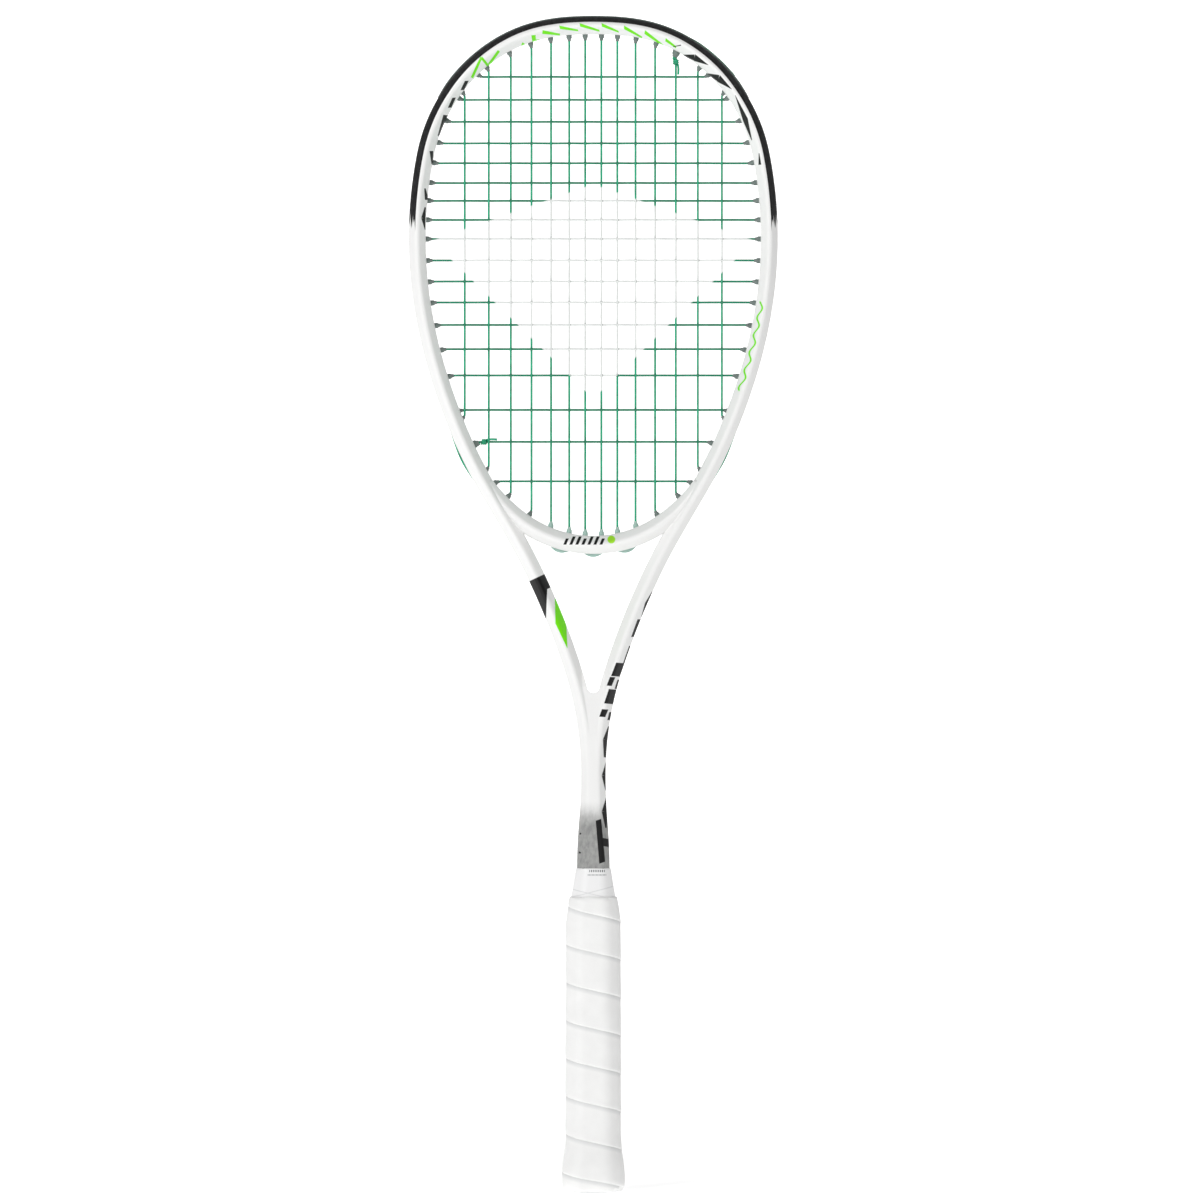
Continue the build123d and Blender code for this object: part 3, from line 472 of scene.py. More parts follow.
size = len(rings[0])
points, faces = loft(rings)
faces = [f for n, f in enumerate(faces)
         if not (n % size in (0, size - 1) and open_row[n // size] and open_row[n // size + 1])]
points = [(0.0 if abs(x) < 2e-3 else x, y, z) for x, y, z in points]
mirrored_points = [(-x, y, z) for x, y, z in points]
mirrored_faces = [tuple(len(points) + i for i in reversed(f)) for f in faces]
piece("frame_tube", points + mirrored_points, faces + mirrored_faces, lacquered_carbon,
      ["frame_hairpin"], {"across": across_of * 2})

# %% [markdown]
# The bridge has the same kind of section on a plain arc, with its groove towards the throat. Its ends
# narrow a little and sink into the arms, where the real one is laminated over.

# %% The throat bridge
rings, across_of = [], []
ring_count = 56
taper_turn = radians(36)
for step in range(ring_count + 1):
    heading = bridge_arc[3] + (bridge_arc[4] - bridge_arc[3]) * step / ring_count
    past = max(0.0, abs(heading + pi) - taper_turn) / (bridge_end_turn - taper_turn)
    ring, us = tube_ring(spot(bridge_arc, heading), heading, 0.0, groove_depth,
                         width=bridge_width - 4.6 * past ** 2, depth=bridge_depth - 3.5 * past)
    rings.append(ring)
    across_of += us
points, faces = loft(rings)
piece("bridge_tube", points, faces, lacquered_carbon, ["throat_bridge"],
      {"across": across_of})

# %% [markdown]
# ## String holes
# The mains run up and down and the crosses side to side. Each end leaves the string bed through a
# nylon barrel and turns in the groove on the outside. The same few lines that place the barrels in
# the frame place the ends of the string here.

# %% Places of the holes
nominal_radius, string_lift = 0.6, 0.15
string_seat = tube_width / 2 - groove_depth + strip_gap + strip_base + nominal_radius + string_lift
bridge_extra = (bridge_width - tube_width) / 2
hoop_lean, bridge_lean, corner_lean = 0.65, 0.15, 0.8
bridge_mains, corner_mains = 3, 5
barrel_reach = 3.5
main_places = [share * side_x for share in (0.0459, 0.1366, 0.24, 0.3512, 0.4688, 0.5941, 0.7307)]
cross_shares = (0.1133, 0.156, 0.1969, 0.2368, 0.2738, 0.3105, 0.3437, 0.3791, 0.4145,
                0.4544, 0.4936, 0.5325, 0.5743, 0.6193, 0.6682, 0.7323, 0.7916, 0.865)
cross_heights = [overall_length - share * head_length for share in cross_shares]
hoop_arcs = [arc for arc in half_line if spot(arc, arc[3])[1] > strip_end_z]
mid_z = crown_z - 0.45 * hoop_length


def meet(arcs, outward, point, direction):
    hits = []
    for cx, cz, radius, h0, h1 in arcs:
        size = radius + outward
        px, pz = point[0] - cx, point[1] - cz
        b = px * direction[0] + pz * direction[1]
        inside = b * b - (px * px + pz * pz - size * size)
        for reach in (-b - sqrt(inside), -b + sqrt(inside)) if inside > 0 else ():
            x, z = px + reach * direction[0], pz + reach * direction[1]
            heading = atan2(-x / size, z / size)
            heading -= 2 * pi if heading > 0.5 else 0
            if reach > 0 and min(h0, h1) - 1e-9 <= heading <= max(h0, h1) + 1e-9:
                hits.append((reach, heading))
    reach, heading = min(hits)
    return (point[0] + reach * direction[0], point[1] + reach * direction[1]), heading


def drilled(arcs, start, direction, lean, reach=barrel_reach):
    """A hole: its inner end, its direction and where the string turns over the groove."""
    on_bridge = arcs is not hoop_arcs
    hit, heading = meet(arcs, -(bridge_width if on_bridge else tube_width) / 2, start, direction)
    mixed = Vector((-sin(heading), cos(heading))) * lean + Vector(direction) * (1 - lean)
    axis = tuple(mixed.normalized())
    reach = reach(hit[0]) if callable(reach) else reach
    inner = (hit[0] - reach * direction[0], hit[1] - reach * direction[1])
    leave, _ = meet(arcs, string_seat + (bridge_extra if on_bridge else 0.0), inner, axis)
    return inner, axis, leave


def cross_reach(edge_x):
    return min(barrel_reach, edge_x - max(place + 0.9 for place in main_places if place < edge_x))


main_top = [drilled(hoop_arcs, (x, mid_z), (0, 1), hoop_lean) for x in main_places]
main_low = []
for number, x in enumerate(main_places):
    if number < bridge_mains:
        hole = drilled([bridge_arc], (x, mid_z), (0, -1), bridge_lean)
    elif number < corner_mains:
        hole = drilled([bridge_arc], (x, mid_z), (0, -1), corner_lean)
        hole = (*hole[:2], meet(hoop_arcs, string_seat, hole[0], hole[1])[0])
    else:
        hole = drilled(hoop_arcs, (x, mid_z), (0, -1), hoop_lean)
    main_low.append(hole)
cross_ends = [drilled(hoop_arcs, (0, z), (1, 0), hoop_lean, cross_reach) for z in cross_heights]


def flipped(hole):
    return tuple((-x, z) for x, z in hole)


def shifted(hole, amount):
    """The second string of a tie-off hole lies beside the first."""
    (px, pz), (ax, az), (ex, ez) = hole
    dx, dz = -abs(az) * amount, (abs(ax) if ax * az < 0 else -abs(ax)) * amount
    return (px + dx, pz + dz), (ax, az), (ex + dx, ez + dz)


print("mains end at", [[round(hole[0][1], 1) for hole in row] for row in (main_top, main_low)])

# %% [markdown]
# ## The string
# One string makes the whole bed: up and down through the mains, then side to side, over and under
# each main in turn. It is modelled as one tube that is woven for real, because the small step at each
# crossing is what makes a string bed look strung. Loops lie in the groove outside.

# %% The route of the string
string_radius = 0.65          # 0.05 over the CAD string's
WEAVE = 1.25                  # corner height of the weave; rounding the corners halves it


def crossing_side(main, cross):
    """+1 where the main passes in front of the cross."""
    return 1 if (main + cross) % 2 else -1


main_xs = sorted([-x for x in main_places] + list(main_places))
column_of = {round(x, 3): index for index, x in enumerate(main_xs)}


def woven_main(x, top_end, low_end, downward):
    """Corners of one main between its two barrels."""
    index = column_of[round(x, 3)]
    corners = [(x, -WEAVE * crossing_side(index, row), z) for row, z in enumerate(cross_heights)
               if low_end + 1 < z < top_end - 1]
    return corners if downward else corners[::-1]


def woven_cross(z, row, left_end, right_end, rightward):
    corners = [(x, WEAVE * crossing_side(index, row), z) for x, index in sorted(column_of.items())
               if left_end + 0.8 < x < right_end - 0.8]
    return corners if rightward else corners[::-1]


def way_out(hole, lift=0.0, y=0.0):
    (px, pz), (ax, az), (ex, ez) = hole
    return [((px, y, pz), 1.2), ((ex + ax * lift, y, ez + az * lift), 1.4)]


def way_in(hole, lift=0.0, y=0.0):
    return way_out(hole, lift, y)[::-1]


def over_groove(first, last, arcs=hoop_arcs, lift=0.0, y=0.0):
    """The corner of a loop half way between two holes, found from inside the hoop."""
    on_hoop = arcs is hoop_arcs
    source = (0.0, mid_z if on_hoop else bridge_centre_z)
    x, z = (first[2][0] + last[2][0]) / 2, (first[2][1] + last[2][1]) / 2
    size = hypot(x, z - source[1])
    found, _ = meet(arcs, string_seat + lift + (0.0 if on_hoop else bridge_extra), source,
                    (abs(x) / size, (z - source[1]) / size))
    return [((found[0] if x >= 0 else -found[0], y, found[1]), 6.0)]


def weave(corners):
    return [(corner, 9.0) for corner in corners]


TIE_MAIN, TIE_CROSS, TIE_PITCH, LIFT = 4, 16, 1.3, 1.35
FRONT, BACK = -0.7, 0.7
last = len(main_places) - 1
tail_hole = shifted(main_top[TIE_MAIN], TIE_PITCH)
(px, pz), (ax, az), _ = tail_hole
route = [((px - ax, FRONT, pz - az), 0.0)] + way_out(tail_hole, LIFT, FRONT)[1:]
between = main_top[TIE_MAIN + 1]
for first, second in ((tail_hole, between), (between, main_top[last])):
    route += over_groove(first, second, lift=LIFT, y=FRONT)
    if second is between:
        _, (ax, az), (ex, ez) = between
        route += [((ex + ax * LIFT, FRONT, ez + az * LIFT), 4.0)]
route += way_in(main_top[last], LIFT, FRONT)
order = [(n, 1) for n in range(last, -1, -1)] + [(n, -1) for n in range(last + 1)]
downward = True
for step, (number, side) in enumerate(order):
    top, low = main_top[number], main_low[number]
    if side < 0:
        top, low = flipped(top), flipped(low)
    start, end = (top, low) if downward else (low, top)
    if step:
        route += way_in(start, y=FRONT)
    route += weave(woven_main(side * main_places[number], top[0][1], low[0][1], downward))
    route += way_out(end, y=FRONT)
    if step + 1 < len(order):
        next_number, next_side = order[step + 1]
        row = main_low if downward else main_top
        after = row[next_number] if next_side > 0 else flipped(row[next_number])
        on_bridge = downward and number < bridge_mains and next_number < bridge_mains
        if number or next_number or not on_bridge:
            # low on each side the loop between the two outermost mains stands a little proud
            outermost = downward and {number, next_number} == {last - 1, last}
            proud = (1.5 if side < 0 else 1.0) if outermost else 0.0
            route += over_groove(end, after, [bridge_arc] if on_bridge else hoop_arcs, proud, FRONT)
    downward = not downward
first_cross = len(route)
leave, rightward = flipped(main_top[last]), True
for row, hole in enumerate(cross_ends):
    start, end = (flipped(hole), hole) if rightward else (hole, flipped(hole))
    route += over_groove(leave, start, y=BACK) + way_in(start, y=BACK)
    route += weave(woven_cross(hole[0][1], row, -hole[0][0], hole[0][0], rightward)) + way_out(end, y=BACK)
    leave, rightward = end, not rightward
side_tail = shifted(flipped(cross_ends[TIE_CROSS]), TIE_PITCH)
(px, pz), (ax, az), _ = side_tail
route += over_groove(leave, side_tail, y=BACK) + way_in(side_tail, y=BACK)[:1]
route += [((px - ax, BACK, pz - az), 0.0)]
print("string route:", len(route), "corners")

# %% A tube along a line
def tube(line, radius, sides=8):
    """Rings round a line, turned as little as possible from one to the next."""
    line = [Vector(p) for p in line]
    line = [p for n, p in enumerate(line) if n == 0 or (p - line[n - 1]).length > 1e-4]
    rings, runs, run_length = [], [], 0.0
    forward = (line[1] - line[0]).normalized()
    across_line = forward.orthogonal().normalized()
    for n, p in enumerate(line):
        if n:
            run_length += (p - line[n - 1]).length
        ahead = line[min(n + 1, len(line) - 1)] - line[max(n - 1, 0)]
        forward = ahead.normalized()
        across_line = (across_line - forward * across_line.dot(forward)).normalized()
        up = forward.cross(across_line)
        rings.append([tuple(p + (across_line * cos(a) + up * sin(a)) * radius)
                      for a in (2 * pi * k / sides for k in range(sides))])
        runs += [run_length] * sides
    points, faces = loft(rings)
    return points, faces, runs, run_length


line = softened(*zip(*route), 5)
string_points, string_faces, string_runs, string_length = tube(line, string_radius)
mains_line = softened(*zip(*route[:first_cross]), 5)
mains_length = sum((Vector(b) - Vector(a)).length for a, b in zip(mains_line, mains_line[1:]))
print("string:", round(string_length), "mm, of which the mains take", round(mains_length))

# %% [markdown]
# ## Nylon string
# The string is extruded nylon: a core with fine filaments wound round it under a clear skin, dyed
# teal. The wound filaments are about 0.15 mm apart, which is finer than the eye makes out at arm's
# length, so they are drawn about 0.6 mm apart, as a soft twist in the relief; the colour is darker in
# the twist's grooves, which is painted shade. A stencilled shape in white ink covers the middle of the bed,
# as players have it.

# %% Nylon string finish
nylon_string, tree, shader, in_mm = finish("dyed nylon string")
run_at = add(tree, "Attribute", attribute_name="run").outputs["Fac"]
parts = add(tree, "SeparateXYZ", {0: in_mm}).outputs
twist = add(tree, "Math", {0: run_at, 1: 2 * pi / 0.6}, operation="MULTIPLY")
twist = add(tree, "Math", {0: twist}, operation="SINE")
shade = add(tree, "TexNoise", {"Vector": in_mm, "Scale": 0.35, "Detail": 2.0})
# painted shade: the teal darkens in the twist's grooves, in step with the relief; the noise adds random tone
groove_shade_and_tone = add(tree, "Math", {0: twist, 1: 0.12, 2: shade}, operation="MULTIPLY_ADD")
teal = add(tree, "ValToRGB", {0: groove_shade_and_tone}, stops=((0.25, "#118A62"), (0.8, "#1DB686")))
# painted shade: the crosses are mixed towards a darker teal, standing in for the shade they get lying flat
# under the light from above
is_cross = add(tree, "Math", {0: run_at, 1: mains_length}, operation="GREATER_THAN")
cross_painted_shade = add(tree, "Math", {0: is_cross, 1: 0.55}, operation="MULTIPLY")
teal = add(tree, "Mix", {"Factor": cross_painted_shade, 6: teal, 7: linear("#0C5A41")}, data_type="RGBA").outputs[2]
# the stencil: a kite, wide at the top and pointed below
kite_foot, kite_top = 462.0, 587.0
from_middle = add(tree, "Math", {0: parts["X"]}, operation="ABSOLUTE")
lower_slope = add(tree, "Math", {0: from_middle, 1: 0.98, 2: kite_foot}, operation="MULTIPLY_ADD")
over_foot = add(tree, "Math", {0: parts["Z"], 1: lower_slope}, operation="SUBTRACT")
upper_slope = add(tree, "Math", {0: from_middle, 1: -0.35, 2: kite_top}, operation="MULTIPLY_ADD")
under_top = add(tree, "Math", {0: upper_slope, 1: parts["Z"]}, operation="SUBTRACT")
above_slope = add(tree, "MapRange", {0: over_foot, 1: -0.4, 2: 0.4})
below_slope = add(tree, "MapRange", {0: under_top, 1: -0.4, 2: 0.4})
stencil = add(tree, "Math", {0: above_slope, 1: below_slope}, operation="MULTIPLY")
dyed = add(tree, "Mix", {"Factor": stencil, 6: teal, 7: linear("#E6E9E7")}, data_type="RGBA")
tree.links.new(dyed.outputs[2], shader.inputs["Base Color"])
plug_in(tree, shader, bump=twist, strength=0.25, depth=0.04)
shader.inputs["Roughness"].default_value = 0.38
shader.inputs["IOR"].default_value = 1.53
piece("string_bed", string_points, string_faces, nylon_string, ["string"],
      {"run": string_runs}, weld=False)


# %% [markdown]
# ## Tie-off knots
# Each end of the string is tied round the string beside it with two turns, pulled down on its barrel,
# and its tail is cut short.

# %% Knots
def knot_line(turns=2.6, ring=1.2, pitch=1.15, tail=6.0):
    line = [(ring * cos(a), ring * sin(a), pitch * a / (2 * pi)) for a in
            (2 * pi * turns * k / 40 for k in range(41))]
    ex, ey, ez = line[0]
    tail_line = [(ex + 0.1, ey - 0.6, ez - 0.8), (ex + 0.4, ey - 0.9, ez - 2.5),
                 (ex + 0.2, ey - 0.9, ez - tail)]
    return softened(tail_line[::-1] + line, [0, 1.5, 1.0] + [0.4] * 40 + [0], 3)


def place_knot(name, node, at, direction):
    up = Vector((direction[0], 0.0, direction[1]))
    right = Vector((0.0, 1.0, 0.0)).cross(up)
    line = [Vector(at) + right * x + Vector((0.0, y, 0.0)) + up * z for x, y, z in knot_line()]
    points, faces, runs, _ = tube([tuple(p) for p in line], string_radius, 10)
    return piece(name, points, faces, nylon_string, [node], {"run": runs}, weld=False)


(px, pz), _, _ = main_top[TIE_MAIN]
place_knot("head_tie", "head_knot", (px, FRONT, pz - 4.4), (0.0, 1.0))
(px, pz), _, _ = flipped(cross_ends[TIE_CROSS])
place_knot("side_tie", "side_knot", (px + 4.4, BACK, pz), (-1.0, 0.0))


# %% [markdown]
# ## Grommet nylon
# The strips are injection-moulded nylon. Those of the hoop are smoky and let some light through; the
# throat strip is pale green. Moulded nylon has a soft satin face, with a faint grain from the tool.

# %% Nylon of the strips
def moulded_nylon(name, dark, light, see_through):
    material, tree, shader, in_mm = finish(name)
    cloud = add(tree, "TexNoise", {"Vector": in_mm, "Scale": 0.25, "Detail": 2.0})
    tint = add(tree, "ValToRGB", {0: cloud}, stops=((0.0, dark), (1.0, light)))
    tree.links.new(tint.outputs[0], shader.inputs["Base Color"])
    grain = add(tree, "TexNoise", {"Vector": in_mm, "Scale": 2.5, "Detail": 1.0})
    plug_in(tree, shader, bump=grain, strength=0.15, depth=0.03)
    shader.inputs["Roughness"].default_value = 0.42
    shader.inputs["IOR"].default_value = 1.53
    shader.inputs["Transmission Weight"].default_value = see_through
    return material


smoky_nylon = moulded_nylon("smoky moulded nylon", "#55625E", "#86948F", 0.15)
green_nylon = moulded_nylon("pale green moulded nylon", "#9DC2B6", "#BCD8CE", 0.1)


def refinish(node, material):
    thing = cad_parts[node]
    thing.data.materials.clear()
    thing.data.materials.append(material)
    print(node, "has", material.name)


# %% [markdown]
# ## Grommet strips
# A strip is a channel that lies in the frame's groove, with one tapered barrel for each string end.
# The head strip has wide flanges that take the knocks. The channel is lofted like the tube, and each
# barrel is a turned shape: wide where it leaves the frame and fine at its tip.

# %% Strips with their barrels
BARREL = [(0.0, 0.72), (0.0, 0.84), (0.15, 0.92), (1.2, 1.1), (1.6, 1.42), (2.0, 1.6), (3.7, 1.62),
          (6.0, 1.6)]            # distance from the inner end, radius


def barrel_rings(hole, y, extra=0.0, sides=14):
    (px, pz), (ax, az), _ = hole
    inner, ahead, up = Vector((px, y, pz)), Vector((ax, 0.0, az)), Vector((az, 0.0, -ax))
    turns = [2 * pi * k / sides for k in range(sides)]
    around = [(up * cos(a), Vector((0.0, sin(a), 0.0))) for a in turns]
    return [[tuple(inner + ahead * reach + rise * (radius + extra) + side * radius) for rise, side in around]
            for reach, radius in BARREL]


def groove_strip(name, node, line, hw, barrels, material, flange=0.0, bumps=()):
    """line is a list of (centre, heading); barrels is a list of (hole, y, extra radius)."""
    floor, wall, channel = hw - groove_depth + strip_gap, groove_width / 2 - strip_gap, strip_channel / 2
    rings = []
    for n, (centre, heading) in enumerate(line):
        # a flange rises over the first few rings and dies away over the last
        grown = min(1.0, (n + 1) / 5, (len(line) - n) / 5)
        top = hw + (0.1 + (bumper_rise - 0.1) * grown if flange else 0.0)
        raised = max([rise * max(0.0, 1 - ((heading - at) / half) ** 2) for at, half, rise in bumps] + [0.0])
        if flange:
            half = [(floor, -wall), (hw + strip_gap, -wall), (hw + strip_gap, -flange), (top, -flange)]
        else:
            half = [(floor, -wall), (top + raised * 0.7, -wall), (top + raised, -wall + 0.3)]
        if bumps:
            half += [(top + raised, -0.5), (top + raised, -0.2)]
        else:
            half += [(top, -channel), (floor + strip_base, -channel)]
        section = softened(half + [(u, -y) for u, y in reversed(half)], [0.25] * (2 * len(half)), 3)
        out = Vector((-sin(heading), cos(heading)))
        rings.append([(centre[0] + out.x * u, y, centre[1] + out.y * u) for u, y in section])
    points, faces = loft(rings)
    for hole, y, extra in barrels:
        more_points, more_faces = loft(barrel_rings(hole, y, extra), first=len(points))
        points, faces = points + more_points, faces + more_faces
    piece(name, points, faces, material, [node])


def line_stretch(z_high, z_low, step=2.5):
    stretch = []
    for arc in half_line:
        count = max(2, round(abs(arc[2] * (arc[4] - arc[3])) / step))
        for k in range(count):
            heading = arc[3] + (arc[4] - arc[3]) * k / count
            if z_low <= spot(arc, heading)[1] <= z_high:
                stretch.append((spot(arc, heading), heading))
    return stretch


def other_side(stretch):
    return [((-x, z), -heading) for (x, z), heading in reversed(stretch)]


joint_z = (cross_ends[1][2][1] + cross_ends[2][2][1]) / 2
head_half = line_stretch(crown_z + 1, joint_z + 0.3)
side_half = line_stretch(joint_z - 0.3, strip_end_z + 0.6)
head_barrels = [(h, FRONT, 0.0) for h in main_top] + [(h, BACK, 0.0) for h in cross_ends[:2]]
head_barrels += [(flipped(h), y, extra) for h, y, extra in head_barrels]
twin_extra = TIE_PITCH / 2
head_barrels[TIE_MAIN] = (shifted(main_top[TIE_MAIN], twin_extra), FRONT, twin_extra)
side_barrels = [(h, FRONT, 0.0) for h in main_low[3:]] + [(h, BACK, 0.0) for h in cross_ends[2:]]
left_barrels = [(flipped(h), y, extra) for h, y, extra in side_barrels]
left_barrels[4 + TIE_CROSS - 2] = (shifted(flipped(cross_ends[TIE_CROSS]), twin_extra), BACK, twin_extra)
head_line = other_side(head_half)[:-1] + head_half
for name, node, line, barrels, flange in (
        ("head_strip", "head_bumper_strip", head_line, head_barrels, bumper_half),
        ("right_strip", "right_grommet_strip", side_half, side_barrels, 0.0),
        ("left_strip", "left_grommet_strip", other_side(side_half), left_barrels, 0.0)):
    groove_strip(name, node, line, tube_width / 2, barrels, smoky_nylon, flange)
throat_holes = main_low[:bridge_mains] + [flipped(h) for h in main_low[:bridge_mains]]
reach = atan2(main_low[2][2][0], bridge_centre_z - main_low[2][2][1]) + 0.06
turns = [-pi + reach - 2 * reach * k / 60 for k in range(61)]
throat_line = [(spot(bridge_arc, turn), turn) for turn in turns]
swing = atan2((main_low[1][2][0] + main_low[2][2][0]) / 2, bridge_centre_z - main_low[1][2][1])
half_bump = 5.0 / bridge_mid_radius
groove_strip("throat_strip", "throat_grommet_strip", throat_line, bridge_width / 2,
             [(h, FRONT, 0.0) for h in throat_holes], green_nylon,
             bumps=[(-pi + turn, half_bump, 1.8) for turn in (-swing, 0.0, swing)])


# %% [markdown]
# ## Hidden pieces
# Foam, plugs and staples are inside the handle and the bridge. They keep their engineered shape and
# still get their own finishes: foam has cells, rubber is matt, the plated wire is metallic with a fine cell
# pattern.

# %% Finishes of the hidden pieces
def hidden_finish(name, dark, light, cell, rough, metal=0.0, relief=0.2):
    material, tree, shader, in_mm = finish(name)
    cells = add(tree, "TexVoronoi", {"Vector": in_mm, "Scale": 1 / cell})
    tint = add(tree, "ValToRGB", {0: cells}, stops=((0.0, dark), (1.0, light)))
    tree.links.new(tint.outputs[0], shader.inputs["Base Color"])
    plug_in(tree, shader, bump=cells, strength=0.3, depth=relief)
    shader.inputs["Roughness"].default_value = rough
    shader.inputs["Metallic"].default_value = metal
    return material


bridge_foam = hidden_finish("expanding polyurethane foam", "#C9B98A", "#E6DAB4", 0.8, 0.9)
moulded_foam = hidden_finish("moulded handle foam", "#2E2E30", "#4A4A4C", 0.6, 0.85)
plug_rubber = hidden_finish("rubber plug", "#1B1B1B", "#2B2B2B", 0.5, 0.7)
refinish("throat_bridge_core", bridge_foam)
refinish("handle_foam", moulded_foam)
refinish("shaft_plug", plug_rubber)
zinc_wire = hidden_finish("zinc-plated wire", "#B9BBBD", "#D9DBDD", 0.3, 0.35, 1.0, 0.02)
refinish("butt_cap_staples", zinc_wire)
refinish("grip_start_staple", zinc_wire)

# %% [markdown]
# ## The handle's outline
# The handle is an octagon with soft corners. One function gives a ring of it for any half width and
# half depth, always with the same number of points, so that rings can be lofted or wound.

# %% Rings of the handle
CORNER_STEPS = 10


def octagon_ring(half_width, half_depth, bevel, round_share=0.36):
    flat_x, flat_y = half_width - bevel, half_depth - bevel
    corners = [(half_width, -flat_y), (half_width, flat_y), (flat_x, half_depth), (-flat_x, half_depth),
               (-half_width, flat_y), (-half_width, -flat_y), (-flat_x, -half_depth), (flat_x, -half_depth)]
    cuts = []
    for n, corner in enumerate(corners):
        edges = [(Vector(corner) - Vector(corners[(n + k) % 8])).length for k in (-1, 1)]
        cuts.append(round_share * min(edges))
    return softened(corners, cuts, CORNER_STEPS)


def between_rows(rows, z):
    """A row of sizes at a height, between the two rows that bracket it."""
    for low, high in zip(rows, rows[1:]):
        if z <= high[0]:
            share = min(1.0, max(0.0, (z - low[0]) / (high[0] - low[0])))
            return [a + share * (b - a) for a, b in zip(low[1:], high[1:])]
    return list(rows[-1][1:])


reference = octagon_ring(16.2, 14.3, 7.7)
steps_round = [hypot(reference[i][0] - reference[i - 1][0], reference[i][1] - reference[i - 1][1])
               for i in range(len(reference))]
share_round = [sum(steps_round[1:i + 1]) / sum(steps_round) for i in range(len(reference))]
print("handle ring:", len(reference), "points,", round(sum(steps_round), 1), "mm round")

# %% [markdown]
# ## The wrap
# The grip is a ribbon of plain polyurethane, wound from the butt upwards with each turn lapping the
# one below. The mesh follows the ribbon: its rows run along the seam, so the
# lapped edge is a crisp step instead of a blurred bump. Rows past either end of the handle are
# clamped to the end and welded away.

# %% The wound wrap
WRAP_ROWS = [(0.0, 15.6, 13.9, 7.4), (0.9, 16.7, 14.9, 7.8), (2.2, 17.6, 15.7, 8.0),
             (4.0, 18.2, 16.2, 8.2), (7.0, 18.45, 16.5, 8.2), (12.0, 18.35, 16.4, 8.2),
             (18.0, 17.8, 15.9, 8.1), (23.0, 16.9, 15.0, 7.9), (28.0, 16.3, 14.4, 7.7),
             (34.0, 16.1, 14.2, 7.7), (157.0, 16.05, 14.15, 7.7), (165.0, 15.1, 13.5, 7.0),
             (172.0, 13.9, 12.9, 6.6)]
wrap_low, wrap_high = 0.9, 172.0
ribbon_pitch = 22.1
seam_at_left = 13.6           # height of the lowest seam where it passes the left edge
# how far up one turn of the ribbon, and how much thicker the wrap is there
LAP = [(0.0, -0.22), (0.008, -0.12), (0.02, 0.04), (0.035, 0.13), (0.06, 0.17), (0.12, 0.16), (0.25, 0.12),
       (0.4, 0.07), (0.55, 0.02), (0.7, -0.02), (0.82, -0.06), (0.92, -0.09), (0.97, -0.14), (0.99, -0.2)]
left_share = share_round[min(range(len(reference)), key=lambda i: (reference[i][0], abs(reference[i][1])))]
columns = len(reference)
rows = [(turn + part, lift) for turn in range(-1, 10) for part, lift in LAP]
points, faces, seam_of = [], [], []
for turn, lift in rows:
    for i in range(columns + 1):
        share = share_round[i] if i < columns else 1.0
        z = seam_at_left + ribbon_pitch * (turn + left_share - share)
        z = min(max(z, wrap_low), wrap_high)
        fade = min(1.0, (z - wrap_low) / 3.0, wrap_high - z)
        half_width, half_depth, bevel = between_rows(WRAP_ROWS, z)
        grow = lift * fade
        ring = octagon_ring(half_width + grow, half_depth + grow, bevel)
        x, y = ring[i % columns]
        points.append((x, y, z))
        seam_of.append(turn % 1.0)
width = columns + 1
for r in range(len(rows) - 1):
    for i in range(columns):
        faces.append((r * width + i, r * width + i + 1, (r + 1) * width + i + 1, (r + 1) * width + i))
low_rim = octagon_ring(14.6, 12.9, 7.2)
high_rim = octagon_ring(12.4, 11.5, 6.2)
for z, inner in ((wrap_low, low_rim), (wrap_high, high_rim)):
    base = len(points)
    outer = octagon_ring(*between_rows(WRAP_ROWS, z))
    points += [(x, y, z) for ring in (outer, inner) for x, y in ring]
    seam_of += [0.5] * (2 * columns)
    faces += [(base + i, base + (i + 1) % columns, base + columns + (i + 1) % columns, base + columns + i)
              for i in range(columns)]
print("wrap:", len(points), "points before welding")

# %% [markdown]
# ## Polyurethane wrap
# The wrap is a polyurethane skin on felt: soft white, slightly tacky, so it has a broad dull shine
# and a fine leather-like grain. Under each lapped edge the colour is painted grey: painted shade.

# %% Polyurethane wrap finish
soft_wrap, tree, shader, in_mm = finish("tacky polyurethane wrap")
seam = add(tree, "Attribute", attribute_name="seam").outputs["Fac"]
grain = add(tree, "TexVoronoi", {"Vector": in_mm, "Scale": 1.1}, feature="SMOOTH_F1")
cloud = add(tree, "TexNoise", {"Vector": in_mm, "Scale": 0.12, "Detail": 3.0})
# painted shade: the top of each turn, just under the lapped edge of the turn above, is mixed towards grey
under_lap_shade = add(tree, "MapRange", {0: seam, 1: 0.86, 2: 1.0})
white_wrap = add(tree, "ValToRGB", {0: cloud}, stops=((0.0, "#EFEFEE"), (1.0, "#F9F9F8")))
lap_shaded_wrap = add(tree, "Mix", {"Factor": under_lap_shade, 6: white_wrap, 7: linear("#D6D7D7")}, data_type="RGBA")
tree.links.new(lap_shaded_wrap.outputs[2], shader.inputs["Base Color"])
plug_in(tree, shader, bump=grain, strength=0.12, depth=0.08)
shader.inputs["Roughness"].default_value = 0.55
shader.inputs["Sheen Weight"].default_value = 0.08
piece("wound_grip", points, faces, soft_wrap, ["grip_wrap"], {"seam": seam_of})


# %% [markdown]
# ## Finishing tape and butt cap
# A band of printed tape holds the top edge of the wrap. It is vinyl: thin, smooth and a little shiny,
# with one lapped end. Below, the butt cap is moulded plastic; only its blank end face shows.

